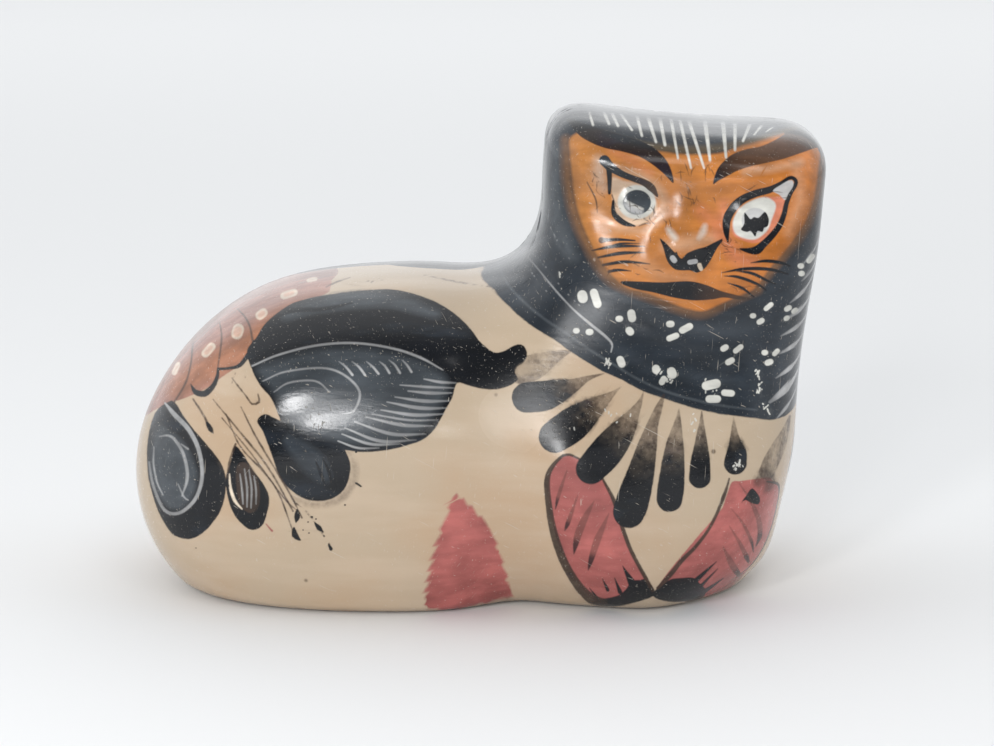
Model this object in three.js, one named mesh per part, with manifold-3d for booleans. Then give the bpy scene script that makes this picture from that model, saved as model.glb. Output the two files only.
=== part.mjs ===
// Burnished pottery cat, lying along X with its head turned square to the front (-Y).
// Moulded clay in one piece: a rounded loaf of a body that melts into an upright
// chest, neck and head with a dished crown, standing on a flat foot at Z = 0.
// Millimetres, +Z up. The origin is the middle of the foot.

import * as THREE from 'three';
import { mergeVertices } from 'three/addons/utils/BufferGeometryUtils.js';
import Module from 'manifold-3d';

const wasm = await Module();
wasm.setup();

// Driving sizes

const LENGTH = 186.6; // rump to the far cheek, before the clay's swellings
const CROWN_HEIGHT = 127; // foot to the middle of the crown
const BACK_HEIGHT = 84.5; // foot to the top of the back
const GIRTH_HEIGHT = 32; // foot to the widest ring of the body
const BODY_LENGTH = 148;
const BODY_WIDTH = 104;
const BODY_PITCH = 4; // degrees, rising towards the chest
const HEAD_WIDTH = 73.5;
const CHEST_DEPTH = 90;
const NECK_BLEND = 24; // how softly body and neck run together
const CROWN_EDGE = 11; // rounding of the rim round the crown
const FOOT_EDGE = 3; // rounding of the rim round the foot
const EAR_RISE = 2.3; // how far both blunt ears stand above the crown
const HEAD_ROLL = 5.4; // degrees that the face leans to the cat's left

// Surface cells: coarse over the body, finer over the head and the front

const COARSE_CELL = 6;
const FINE_CELL = 3;
const FINE_REACH = { x: 0.6, y: 0.22, z: 0.6 }; // left of the head, ahead of the middle, above the foot

const CLAY_COLOUR = '#c0ab95'; // burnished buff slip
const CLAY_ROUGHNESS = 0.28;

// Places that follow from the sizes

const RUMP_X = -LENGTH / 2;
const BODY_X = RUMP_X + BODY_LENGTH / 2;
const HEAD_X = LENGTH / 2 - HEAD_WIDTH / 2;

// Plan of chest, neck and head at rising shares of the crown height.
// left and right are shares of head width from the head's middle, front and back
// are shares of chest depth, and square is the exponent that squares the corners.

const PLANS = [
  { at: 0, left: -0.53, right: 0.24, front: -0.385, back: 0.389, square: 2.4 },
  { at: 0.08, left: -0.58, right: 0.33, front: -0.495, back: 0.433, square: 2.5 },
  { at: 0.2, left: -0.61, right: 0.37, front: -0.545, back: 0.456, square: 2.6 },
  { at: 0.355, left: -0.61, right: 0.405, front: -0.544, back: 0.433, square: 2.8 },
  { at: 0.55, left: -0.57, right: 0.435, front: -0.5, back: 0.345, square: 3.2 },
  { at: 0.75, left: -0.53, right: 0.476, front: -0.478, back: 0.278, square: 3.8 },
  { at: 0.905, left: -0.52, right: 0.494, front: -0.467, back: 0.256, square: 4 },
  { at: 1.04, left: -0.5, right: 0.497, front: -0.444, back: 0.233, square: 4 },
];

const CROWN_SLOPE = 0.04; // fall of the crown to the cat's left, share of head width
const CROWN_SLIP = 0.18; // fall of the crown to front and back, share of chest depth

// Body section: exponents along the body and across it, and the fuller haunch

const BODY_ROUND = 2.07;
const BODY_SQUARE = 2.8;
const HAUNCH = { at: 0.21, spread: 0.176, rise: 0.028 }; // shares of body length and back height

// Swellings of the face, across and up from the nose, as shares of head width

const NOSE = { across: -0.0245, up: 0.756 }; // shares of head width and crown height
const FACE = [
  { part: 'bridge', across: -0.012, up: 0.075, wide: 0.075, high: 0.12, rise: 0.03 },
  { part: 'nose, left edge', across: -0.062, up: 0.035, wide: 0.06, high: 0.055, rise: 0.026 },
  { part: 'nose, right edge', across: 0.062, up: 0.035, wide: 0.06, high: 0.055, rise: 0.026 },
  { part: 'muzzle', across: 0, up: -0.07, wide: 0.23, high: 0.11, rise: 0.026 },
  { part: 'chin', across: 0, up: -0.19, wide: 0.16, high: 0.06, rise: 0.01 },
  { part: 'left socket', across: -0.222, up: 0.157, wide: 0.12, high: 0.085, rise: -0.026 },
  { part: 'right socket', across: 0.196, up: 0.157, wide: 0.12, high: 0.085, rise: -0.026 },
  { part: 'left eyeball', across: -0.222, up: 0.157, wide: 0.07, high: 0.062, rise: 0.034 },
  { part: 'right eyeball', across: 0.196, up: 0.157, wide: 0.07, high: 0.062, rise: 0.034 },
  { part: 'left brow', across: -0.25, up: 0.285, wide: 0.17, high: 0.065, rise: 0.014 },
  { part: 'right brow', across: 0.23, up: 0.285, wide: 0.17, high: 0.065, rise: 0.014 },
  { part: 'left cheek', across: -0.3, up: 0, wide: 0.12, high: 0.1, rise: 0.012 },
  { part: 'right cheek', across: 0.29, up: 0, wide: 0.12, high: 0.1, rise: 0.012 },
];
const MOUTH = { up: -0.163, wide: 0.21, high: 0.03, rise: -0.0075, bow: 0.35 };

// Forelegs, two soft ridges that meet at the foot of the chest, and the waist beside
// them. across is a share of head width from the head's middle, up of crown height.

const LEG_TOPS = [
  { across: -0.457, up: 0.33 },
  { across: 0.285, up: 0.315 },
];
const LEG_FOOT = { across: -0.123, up: 0.016 };
const LEG_WIDTH = 0.165;
const LEG_RISE = 0.022;
const WAIST = { across: -0.64, up: -0.047, wide: 0.177, high: 0.268, rise: -0.049 };
const FRONT_START = 0.11; // relief begins this far ahead of the middle, share of chest depth
const FRONT_FADE = 0.155; // and is full after this much more

const AROUND = 14; // room left round the clay when its skin is found
const SOLE_CUT = 0.2; // thin slice off the foot, so that it stands flat

function smoothUnion(a, b, blend) {
  const share = THREE.MathUtils.clamp(0.5 + (0.5 * (b - a)) / blend, 0, 1);
  return b + (a - b) * share - blend * share * (1 - share);
}

function smoothCut(a, b, blend) {
  return -smoothUnion(-a, -b, blend);
}

function hump(across, up, wide, high) {
  return Math.exp(-((across / wide) ** 2) - (up / high) ** 2);
}

// Smooth curve through the plans, read at a share of the crown height

function slopeAt(row, key) {
  const before = PLANS[Math.max(row - 1, 0)];
  const after = PLANS[Math.min(row + 1, PLANS.length - 1)];
  return (after[key] - before[key]) / (after.at - before.at);
}

function planValue(key, row, share) {
  const low = PLANS[row];
  const high = PLANS[row + 1];
  const step = high.at - low.at;
  const t = (share - low.at) / step;
  return (2 * t ** 3 - 3 * t ** 2 + 1) * low[key]
    + (t ** 3 - 2 * t ** 2 + t) * step * slopeAt(row, key)
    + (3 * t ** 2 - 2 * t ** 3) * high[key]
    + (t ** 3 - t ** 2) * step * slopeAt(row + 1, key);
}

function planAt(z) {
  const share = THREE.MathUtils.clamp(z / CROWN_HEIGHT, PLANS[0].at, PLANS.at(-1).at);
  let row = 0;
  while (row < PLANS.length - 2 && share >= PLANS[row + 1].at) row += 1;
  return {
    left: HEAD_X + HEAD_WIDTH * planValue('left', row, share),
    right: HEAD_X + HEAD_WIDTH * planValue('right', row, share),
    front: CHEST_DEPTH * planValue('front', row, share),
    back: CHEST_DEPTH * planValue('back', row, share),
    square: planValue('square', row, share),
  };
}

// Each form below gives a distance: negative inside the clay, positive outside

function bodyForm(x, y, z) {
  const pitch = THREE.MathUtils.degToRad(BODY_PITCH);
  const dx = x - BODY_X;
  const dz = z - GIRTH_HEIGHT;
  const halfHeight = BACK_HEIGHT - GIRTH_HEIGHT;
  const along = Math.abs(dx * Math.cos(pitch) + dz * Math.sin(pitch)) / (BODY_LENGTH / 2);
  const rise = Math.abs(dz * Math.cos(pitch) - dx * Math.sin(pitch)) / halfHeight;
  const across = Math.abs(y) / (BODY_WIDTH / 2);
  const ring = (along ** BODY_ROUND + rise ** BODY_ROUND) ** (BODY_SQUARE / BODY_ROUND);
  const size = (ring + across ** BODY_SQUARE) ** (1 / BODY_SQUARE);
  const haunchX = RUMP_X + HAUNCH.at * BODY_LENGTH;
  const haunch = HAUNCH.rise * BACK_HEIGHT
    * hump(x - haunchX, 0, HAUNCH.spread * BODY_LENGTH, 1)
    * THREE.MathUtils.clamp(z / BACK_HEIGHT, 0, 1);
  return (size - 1) * Math.min(halfHeight, BODY_WIDTH / 2) * 0.9 - haunch;
}

function uprightForm(x, y, z) {
  const plan = planAt(z);
  const halfWidth = (plan.right - plan.left) / 2;
  const halfDepth = (plan.back - plan.front) / 2;
  const across = Math.abs(x - (plan.left + plan.right) / 2) / halfWidth;
  const deep = Math.abs(y - (plan.front + plan.back) / 2) / halfDepth;
  const ring = (across ** plan.square + deep ** plan.square) ** (1 / plan.square);
  const side = (ring - 1) * Math.min(halfWidth, halfDepth);
  const share = (x - HEAD_X) / (HEAD_WIDTH / 2);
  const back = y / CHEST_DEPTH + 0.089;
  const crown = CROWN_HEIGHT - CROWN_SLOPE * HEAD_WIDTH * share + EAR_RISE * share ** 2
    - CROWN_SLIP * back ** 2 * CHEST_DEPTH;
  return smoothCut(side, z - crown, CROWN_EDGE);
}

function faceRise(x, z) {
  const roll = THREE.MathUtils.degToRad(HEAD_ROLL);
  const dx = (x - HEAD_X) / HEAD_WIDTH - NOSE.across;
  const dz = (z - NOSE.up * CROWN_HEIGHT) / HEAD_WIDTH;
  const across = dx * Math.cos(roll) - dz * Math.sin(roll);
  const up = dx * Math.sin(roll) + dz * Math.cos(roll);
  let rise = MOUTH.rise * hump(across, up - MOUTH.up - MOUTH.bow * (across ** 2), MOUTH.wide, MOUTH.high);
  for (const swell of FACE) {
    rise += swell.rise * hump(across - swell.across, up - swell.up, swell.wide, swell.high);
  }
  return rise;
}

function legRise(x, z) {
  const tall = CROWN_HEIGHT / HEAD_WIDTH;
  const at = new THREE.Vector3((x - HEAD_X) / HEAD_WIDTH, (z / CROWN_HEIGHT) * tall, 0);
  const foot = new THREE.Vector3(LEG_FOOT.across, LEG_FOOT.up * tall, 0);
  let rise = 0;
  for (const { across, up } of LEG_TOPS) {
    const leg = new THREE.Line3(new THREE.Vector3(across, up * tall, 0), foot);
    const nearest = leg.closestPointToPoint(at, true, new THREE.Vector3());
    rise += LEG_RISE * Math.exp(-((at.distanceTo(nearest) / LEG_WIDTH) ** 2));
  }
  return rise;
}

function relief(x, y, z) {
  const fade = (-y / CHEST_DEPTH - FRONT_START) / FRONT_FADE;
  const ahead = THREE.MathUtils.smoothstep(fade, 0, 1);
  if (ahead === 0) return 0;
  const across = (x - HEAD_X) / HEAD_WIDTH;
  const up = z / CROWN_HEIGHT;
  const waist = WAIST.rise * hump(across - WAIST.across, up - WAIST.up, WAIST.wide, WAIST.high);
  return HEAD_WIDTH * ahead * (faceRise(x, z) + legRise(x, z) + waist);
}

function catForm(x, y, z) {
  const whole = smoothUnion(bodyForm(x, y, z), uprightForm(x, y, z), NECK_BLEND);
  return smoothCut(whole - relief(x, y, z), -z, FOOT_EDGE);
}

// Skin over a form: one point in every cell that the surface crosses, settled on the
// surface, and one four-sided face round every cell edge that crosses it

const CORNERS = [[0, 0, 0], [1, 0, 0], [0, 1, 0], [1, 1, 0], [0, 0, 1], [1, 0, 1], [0, 1, 1], [1, 1, 1]];

function ruler(from, to, fineFrom, fineTo) {
  const marks = [from];
  while (marks.at(-1) < to) {
    const at = marks.at(-1);
    marks.push(at + (at >= fineFrom && at < fineTo ? FINE_CELL : COARSE_CELL));
  }
  return marks;
}

function slopeOf(form, point) {
  const step = 0.05;
  return new THREE.Vector3(
    form(point.x + step, point.y, point.z) - form(point.x - step, point.y, point.z),
    form(point.x, point.y + step, point.z) - form(point.x, point.y - step, point.z),
    form(point.x, point.y, point.z + step) - form(point.x, point.y, point.z - step),
  ).divideScalar(2 * step);
}

function settle(form, point) {
  for (let pass = 0; pass < 4; pass += 1) {
    const slope = slopeOf(form, point);
    point.addScaledVector(slope, -form(point.x, point.y, point.z) / slope.lengthSq());
  }
  return point;
}

function skinGeometry(form, xs, ys, zs) {
  const size = [xs.length, ys.length, zs.length];
  const at = (i, j, k) => (k * size[1] + j) * size[0] + i;
  const value = new Float64Array(size[0] * size[1] * size[2]);
  zs.forEach((z, k) => ys.forEach((y, j) => xs.forEach((x, i) => {
    value[at(i, j, k)] = form(x, y, z);
  })));

  const points = [];
  const pointOf = new Int32Array(value.length).fill(-1);
  for (let k = 0; k < size[2] - 1; k += 1) {
    for (let j = 0; j < size[1] - 1; j += 1) {
      for (let i = 0; i < size[0] - 1; i += 1) {
        const middle = new THREE.Vector3();
        let crossings = 0;
        CORNERS.forEach((a, first) => CORNERS.forEach((b, second) => {
          const apart = Math.abs(a[0] - b[0]) + Math.abs(a[1] - b[1]) + Math.abs(a[2] - b[2]);
          if (second <= first || apart !== 1) return;
          const start = value[at(i + a[0], j + a[1], k + a[2])];
          const end = value[at(i + b[0], j + b[1], k + b[2])];
          if ((start < 0) === (end < 0)) return;
          const from = new THREE.Vector3(xs[i + a[0]], ys[j + a[1]], zs[k + a[2]]);
          const to = new THREE.Vector3(xs[i + b[0]], ys[j + b[1]], zs[k + b[2]]);
          middle.add(from.lerp(to, start / (start - end)));
          crossings += 1;
        }));
        if (crossings === 0) continue;
        pointOf[at(i, j, k)] = points.length;
        points.push(settle(form, middle.divideScalar(crossings)));
      }
    }
  }

  const faces = [];
  const addQuad = (quad, outward) => {
    const [a, b, c, d] = outward ? quad : [quad[3], quad[2], quad[1], quad[0]];
    const shortFirst = points[a].distanceTo(points[c]) < points[b].distanceTo(points[d]);
    faces.push(...(shortFirst ? [a, b, c, a, c, d] : [a, b, d, b, c, d]));
  };
  for (let k = 1; k < size[2] - 1; k += 1) {
    for (let j = 1; j < size[1] - 1; j += 1) {
      for (let i = 1; i < size[0] - 1; i += 1) {
        const inside = value[at(i, j, k)] < 0;
        const cell = (di, dj, dk) => pointOf[at(i + di, j + dj, k + dk)];
        if (inside !== value[at(i + 1, j, k)] < 0) {
          addQuad([cell(0, -1, -1), cell(0, 0, -1), cell(0, 0, 0), cell(0, -1, 0)], inside);
        }
        if (inside !== value[at(i, j + 1, k)] < 0) {
          addQuad([cell(-1, 0, -1), cell(-1, 0, 0), cell(0, 0, 0), cell(0, 0, -1)], inside);
        }
        if (inside !== value[at(i, j, k + 1)] < 0) {
          addQuad([cell(-1, -1, 0), cell(0, -1, 0), cell(0, 0, 0), cell(-1, 0, 0)], inside);
        }
      }
    }
  }

  const geometry = new THREE.BufferGeometry();
  geometry.setFromPoints(points);
  geometry.setIndex(faces);
  return geometry;
}

// Booleans

function toSolid(geometry) {
  return new wasm.Manifold(new wasm.Mesh({
    numProp: 3,
    vertProperties: new Float32Array(geometry.getAttribute('position').array),
    triVerts: new Uint32Array(geometry.getIndex().array),
  }));
}

function toGeometry(solid) {
  const mesh = solid.getMesh();
  const geometry = new THREE.BufferGeometry();
  geometry.setAttribute('position', new THREE.BufferAttribute(mesh.vertProperties, 3));
  geometry.setIndex(new THREE.BufferAttribute(mesh.triVerts, 1));
  return geometry;
}

function boxSolid(width, depth, height, x, y, z) {
  const box = new THREE.BoxGeometry(width, depth, height).translate(x, y, z);
  box.deleteAttribute('normal');
  box.deleteAttribute('uv');
  return toSolid(mergeVertices(box));
}

// The cat: skinned, cut flat below, and set with the middle of its foot at the origin

function catGeometry() {
  const halfWidth = BODY_WIDTH / 2 + AROUND;
  const xs = ruler(RUMP_X - AROUND, LENGTH / 2 + AROUND, HEAD_X - HEAD_WIDTH * FINE_REACH.x, LENGTH / 2);
  const ys = ruler(-halfWidth, halfWidth, -halfWidth, -CHEST_DEPTH * FINE_REACH.y);
  const zs = ruler(-AROUND, CROWN_HEIGHT + AROUND, CROWN_HEIGHT * FINE_REACH.z, CROWN_HEIGHT + AROUND);
  const skin = toSolid(skinGeometry(catForm, xs, ys, zs));
  const slab = boxSolid(2 * LENGTH, 2 * BODY_WIDTH, 2 * AROUND, 0, 0, SOLE_CUT - AROUND);
  const geometry = toGeometry(skin.subtract(slab));
  geometry.computeBoundingBox();
  const middle = geometry.boundingBox.getCenter(new THREE.Vector3());
  geometry.translate(-middle.x, -middle.y, -SOLE_CUT);
  geometry.computeVertexNormals();
  return geometry;
}

function buildCat() {
  const clay = new THREE.MeshStandardMaterial({
    color: CLAY_COLOUR,
    roughness: CLAY_ROUGHNESS,
    metalness: 0,
  });
  const cat = new THREE.Mesh(catGeometry(), clay);
  cat.name = 'cat';
  const group = new THREE.Group();
  group.add(cat);
  return group;
}

export default buildCat();
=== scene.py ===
import math
import random

import bpy
import numpy as np
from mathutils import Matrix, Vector
from mathutils.geometry import delaunay_2d_cdt
from mathutils.kdtree import KDTree


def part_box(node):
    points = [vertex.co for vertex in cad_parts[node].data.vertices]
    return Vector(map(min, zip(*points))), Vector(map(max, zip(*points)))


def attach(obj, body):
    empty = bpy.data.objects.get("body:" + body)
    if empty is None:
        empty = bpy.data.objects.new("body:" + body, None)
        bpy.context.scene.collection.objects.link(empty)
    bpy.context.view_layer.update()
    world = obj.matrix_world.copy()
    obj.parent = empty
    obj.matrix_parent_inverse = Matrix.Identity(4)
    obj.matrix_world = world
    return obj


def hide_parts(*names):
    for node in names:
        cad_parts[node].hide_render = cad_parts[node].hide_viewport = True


bl_info = {
    "name": "Painted Clay Cat",
    "version": (1, 0, 0),
    "blender": (4, 5, 0),
    "location": "3D View > Sidebar > Clay Cat",
    "description": "Builds a burnished, painted pottery cat, its finish and its stage",
    "category": "Object",
}

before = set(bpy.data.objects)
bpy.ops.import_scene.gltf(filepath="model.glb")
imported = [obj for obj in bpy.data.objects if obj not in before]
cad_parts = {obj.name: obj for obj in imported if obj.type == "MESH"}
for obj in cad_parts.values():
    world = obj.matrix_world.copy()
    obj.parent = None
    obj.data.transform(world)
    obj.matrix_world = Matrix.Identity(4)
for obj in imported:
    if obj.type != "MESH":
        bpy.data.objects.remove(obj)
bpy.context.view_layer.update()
CAD_NODE = "cat"
CAD_LOW, CAD_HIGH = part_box(CAD_NODE)

# Sizes of the clay form, in millimetres. They are the CAD solid's own.
MM = 0.001
LENGTH = 186.6
CROWN_HEIGHT = 127.0
BACK_HEIGHT = 84.5
GIRTH_HEIGHT = 32.0
BODY_LENGTH = 148.0
BODY_WIDTH = 104.0
BODY_PITCH = math.radians(4.0)
HEAD_WIDTH = 73.5
CHEST_DEPTH = 90.0
NECK_BLEND = 24.0
CROWN_EDGE = 11.0
FOOT_EDGE = 3.0
EAR_RISE = 2.3
HEAD_ROLL = math.radians(5.4)
SOLE_CUT = 0.2

RUMP_X = -LENGTH / 2
BODY_X = RUMP_X + BODY_LENGTH / 2
HEAD_X = LENGTH / 2 - HEAD_WIDTH / 2

# Plans of chest, neck and head: share of crown height, left and right as shares of head
# width, front and back as shares of chest depth, and the exponent that squares the corners
PLANS = [
    (0, -0.53, 0.24, -0.385, 0.389, 2.4),
    (0.08, -0.58, 0.33, -0.495, 0.433, 2.5),
    (0.2, -0.61, 0.37, -0.545, 0.456, 2.6),
    (0.355, -0.61, 0.405, -0.544, 0.433, 2.8),
    (0.55, -0.57, 0.435, -0.5, 0.345, 3.2),
    (0.75, -0.53, 0.476, -0.478, 0.278, 3.8),
    (0.905, -0.52, 0.494, -0.467, 0.256, 4),
    (1.04, -0.5, 0.497, -0.444, 0.233, 4),
]
CROWN_SLOPE = 0.04
CROWN_SLIP = 0.18
BODY_ROUND = 2.07
BODY_SQUARE = 2.8
HAUNCH_AT, HAUNCH_SPREAD, HAUNCH_RISE = 0.21, 0.176, 0.028

# Swellings of the face: across, up, half-width, half-height and rise, shares of head width
NOSE_ACROSS, NOSE_UP = -0.0245, 0.756
FACE_SWELLS = {
    "bridge": (-0.012, 0.075, 0.075, 0.12, 0.03),
    "nose, left edge": (-0.062, 0.035, 0.06, 0.055, 0.026),
    "nose, right edge": (0.062, 0.035, 0.06, 0.055, 0.026),
    "muzzle": (0, -0.07, 0.23, 0.11, 0.026),
    "chin": (0, -0.19, 0.16, 0.06, 0.01),
    "left socket": (-0.222, 0.157, 0.12, 0.085, -0.026),
    "right socket": (0.196, 0.157, 0.12, 0.085, -0.026),
    "left eyeball": (-0.222, 0.157, 0.07, 0.062, 0.034),
    "right eyeball": (0.196, 0.157, 0.07, 0.062, 0.034),
    "left brow": (-0.25, 0.285, 0.17, 0.065, 0.014),
    "right brow": (0.23, 0.285, 0.17, 0.065, 0.014),
    "left cheek": (-0.3, 0, 0.12, 0.1, 0.012),
    "right cheek": (0.29, 0, 0.12, 0.1, 0.012),
}
MOUTH_UP, MOUTH_WIDE, MOUTH_HIGH, MOUTH_RISE, MOUTH_BOW = -0.163, 0.21, 0.03, -0.0075, 0.35
LEG_TOPS = ((-0.457, 0.33), (0.285, 0.315))
LEG_FOOT = (-0.123, 0.016)
LEG_WIDTH, LEG_RISE = 0.165, 0.022
WAIST_ACROSS, WAIST_UP, WAIST_WIDE, WAIST_HIGH, WAIST_RISE = -0.64, -0.047, 0.177, 0.268, -0.049
FRONT_START, FRONT_FADE = 0.11, 0.155


# The clay form: distances in millimetres, negative inside the clay


def smooth_union(a, b, blend):
    share = np.clip(0.5 + 0.5 * (b - a) / blend, 0, 1)
    return b + (a - b) * share - blend * share * (1 - share)


def smooth_cut(a, b, blend):
    return -smooth_union(-a, -b, blend)


def hump(across, up, wide, high):
    return np.exp(-((across / wide) ** 2) - (up / high) ** 2)


def smooth_rows(rows, at):
    """The rows' values at the places `at`, on a smooth curve through the first column."""
    table = np.array(rows, float)
    marks, values = table[:, 0], table[:, 1:]
    slopes = np.gradient(values, axis=0)
    slopes[1:-1] = (values[2:] - values[:-2]) / (marks[2:] - marks[:-2])[:, None]
    slopes[0] = (values[1] - values[0]) / (marks[1] - marks[0])
    slopes[-1] = (values[-1] - values[-2]) / (marks[-1] - marks[-2])
    at = np.clip(at, marks[0], marks[-1])
    row = np.clip(np.searchsorted(marks, at, side="right") - 1, 0, len(marks) - 2)
    step = (marks[row + 1] - marks[row])[..., None]
    t = (at - marks[row])[..., None] / step
    return (
        (2 * t**3 - 3 * t**2 + 1) * values[row]
        + (t**3 - 2 * t**2 + t) * step * slopes[row]
        + (3 * t**2 - 2 * t**3) * values[row + 1]
        + (t**3 - t**2) * step * slopes[row + 1]
    )


def body_form(x, y, z):
    dx, dz = x - BODY_X, z - GIRTH_HEIGHT
    half_height = BACK_HEIGHT - GIRTH_HEIGHT
    along = np.abs(dx * math.cos(BODY_PITCH) + dz * math.sin(BODY_PITCH)) / (BODY_LENGTH / 2)
    rise = np.abs(dz * math.cos(BODY_PITCH) - dx * math.sin(BODY_PITCH)) / half_height
    across = np.abs(y) / (BODY_WIDTH / 2)
    ring = (along**BODY_ROUND + rise**BODY_ROUND) ** (BODY_SQUARE / BODY_ROUND)
    size = (ring + across**BODY_SQUARE) ** (1 / BODY_SQUARE)
    haunch_x = RUMP_X + HAUNCH_AT * BODY_LENGTH
    haunch = HAUNCH_RISE * BACK_HEIGHT * hump(x - haunch_x, 0, HAUNCH_SPREAD * BODY_LENGTH, 1)
    haunch = haunch * np.clip(z / BACK_HEIGHT, 0, 1)
    return (size - 1) * min(half_height, BODY_WIDTH / 2) * 0.9 - haunch


def upright_form(x, y, z):
    plan = smooth_rows(PLANS, z / CROWN_HEIGHT)
    left, right = HEAD_X + HEAD_WIDTH * plan[..., 0], HEAD_X + HEAD_WIDTH * plan[..., 1]
    front, back = CHEST_DEPTH * plan[..., 2], CHEST_DEPTH * plan[..., 3]
    square = plan[..., 4]
    half_width, half_depth = (right - left) / 2, (back - front) / 2
    across = np.abs(x - (left + right) / 2) / half_width + 1e-9
    deep = np.abs(y - (front + back) / 2) / half_depth + 1e-9
    side = ((across**square + deep**square) ** (1 / square) - 1) * np.minimum(half_width, half_depth)
    share = (x - HEAD_X) / (HEAD_WIDTH / 2)
    slip = CROWN_SLIP * (y / CHEST_DEPTH + 0.089) ** 2 * CHEST_DEPTH
    crown = CROWN_HEIGHT - CROWN_SLOPE * HEAD_WIDTH * share + EAR_RISE * share**2 - slip
    return smooth_cut(side, z - crown, CROWN_EDGE)


def face_rise(x, z):
    dx = (x - HEAD_X) / HEAD_WIDTH - NOSE_ACROSS
    dz = (z - NOSE_UP * CROWN_HEIGHT) / HEAD_WIDTH
    across = dx * math.cos(HEAD_ROLL) - dz * math.sin(HEAD_ROLL)
    up = dx * math.sin(HEAD_ROLL) + dz * math.cos(HEAD_ROLL)
    rise = MOUTH_RISE * hump(across, up - MOUTH_UP - MOUTH_BOW * across**2, MOUTH_WIDE, MOUTH_HIGH)
    for swell_across, swell_up, wide, high, tall in FACE_SWELLS.values():
        rise = rise + tall * hump(across - swell_across, up - swell_up, wide, high)
    return rise


def leg_rise(x, z):
    tall = CROWN_HEIGHT / HEAD_WIDTH
    across, up = (x - HEAD_X) / HEAD_WIDTH, z / CROWN_HEIGHT * tall
    rise = 0
    for top_across, top_up in LEG_TOPS:
        run, drop = LEG_FOOT[0] - top_across, (LEG_FOOT[1] - top_up) * tall
        t = ((across - top_across) * run + (up - top_up * tall) * drop) / (run**2 + drop**2)
        t = np.clip(t, 0, 1)
        gap = np.hypot(across - top_across - t * run, up - top_up * tall - t * drop)
        rise = rise + LEG_RISE * np.exp(-((gap / LEG_WIDTH) ** 2))
    return rise


def relief(x, y, z):
    fade = np.clip((-y / CHEST_DEPTH - FRONT_START) / FRONT_FADE, 0, 1)
    ahead = fade * fade * (3 - 2 * fade)
    across, up = (x - HEAD_X) / HEAD_WIDTH, z / CROWN_HEIGHT
    waist = WAIST_RISE * hump(across - WAIST_ACROSS, up - WAIST_UP, WAIST_WIDE, WAIST_HIGH)
    return HEAD_WIDTH * ahead * (face_rise(x, z) + leg_rise(x, z) + waist)


def clay_form(points):
    x, y, z = points[..., 0], points[..., 1], points[..., 2]
    whole = smooth_union(body_form(x, y, z), upright_form(x, y, z), NECK_BLEND)
    return smooth_cut(whole - relief(x, y, z), -z, FOOT_EDGE)


def form_slope(points):
    step = 0.1
    parts = [clay_form(points + e) - clay_form(points - e) for e in np.eye(3) * step]
    return np.stack(parts, -1) / (2 * step)


def unit(vectors):
    return vectors / np.linalg.norm(vectors, axis=-1, keepdims=True)


def settle(points, passes=3):
    """Points moved along the form's slope onto the surface."""
    for _ in range(passes):
        slope = form_slope(points)
        points = points - slope * (clay_form(points) / (slope**2).sum(-1))[..., None]
    return points


def first_hit(starts, ways, reach, steps=70):
    """Where rays meet the clay. A ray that misses ends at the nearest surface it passes."""
    near = np.zeros(len(starts))
    best, best_gap = near.copy(), np.full(len(starts), 1e9)
    alive = np.arange(len(starts))
    for _ in range(steps):
        gap = clay_form(starts[alive] + ways[alive] * near[alive, None])
        closer = gap < best_gap[alive]
        best[alive[closer]] = near[alive[closer]]
        best_gap[alive[closer]] = gap[closer]
        near[alive] += np.maximum(gap * 0.85, 0.01)
        alive = alive[(gap > 0.02) & (near[alive] < reach)]
        if not len(alive):
            break
    return settle(starts + ways * best[:, None])


# Two charts: every direction from the heart of the clay, the front half and the back half each
# laid flat, so that a flat triangulation can follow painted outlines
HEART = np.array([30.0, 0.0, 50.0])
CHART_SCALE = 60.0
CHART_RIM = CHART_SCALE * math.sqrt(2)
RIM_POINTS = 600
RING_CLEARANCE = 0.35
LONGEST_STEP = 4.0
CHART_USE = 0.997


def from_heart(heart, ways):
    """Where rays from a point inside leave the clay."""
    low, high = np.zeros(len(ways)), np.full(len(ways), LENGTH)
    low_gap, high_gap = clay_form(heart + ways * 0), clay_form(heart + ways * high[:, None])
    for turn in range(16):
        middle = low + (high - low) * (low_gap / (low_gap - high_gap) if turn % 3 else 0.5)
        gap = clay_form(heart + ways * middle[:, None])
        within = gap < 0
        low, low_gap = np.where(within, middle, low), np.where(within, gap, low_gap)
        high, high_gap = np.where(within, high, middle), np.where(within, high_gap, gap)
    nearer = np.where(np.abs(low_gap) < np.abs(high_gap), low, high)
    return heart + ways * nearer[:, None]


def on_side(points, side):
    """Chart points of surface points, and which of them lie well within that side's chart."""
    way = unit(points - HEART)
    flat = way[:, [0, 2]] * np.sqrt(2 / (1 + side * way[:, 1]).clip(0.1))[:, None] * CHART_SCALE
    return flat, np.linalg.norm(flat, axis=1) < CHART_RIM * CHART_USE


def from_chart(flat, side):
    """Surface points for one side's chart points."""
    flat = flat / CHART_SCALE
    square = (flat**2).sum(-1)
    spread = np.sqrt(1 - square / 4)
    way = np.stack([flat[:, 0] * spread, side * (1 - square / 2), flat[:, 1] * spread], -1)
    return from_heart(HEART, way)


# Views: pictures of the cat in the photograph's pixels, from the camera and from other sides
PHOTO_WIDE, PHOTO_HIGH = 994, 746
MM_PER_PIXEL = 0.2758
CAMERA_DISTANCE = 750.0
CAMERA_TARGET = np.array([5.9, -3.0, 56.0])
CAMERA_ELEVATION = 12.0
# How far off the form, in millimetres, a point may be and still count as on the surface
SURFACE_SLACK = 0.05
# The part of a picture that holds the cat in every view
PICTURE_LOW, PICTURE_HIGH = (60, 20), (930, 720)


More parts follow.
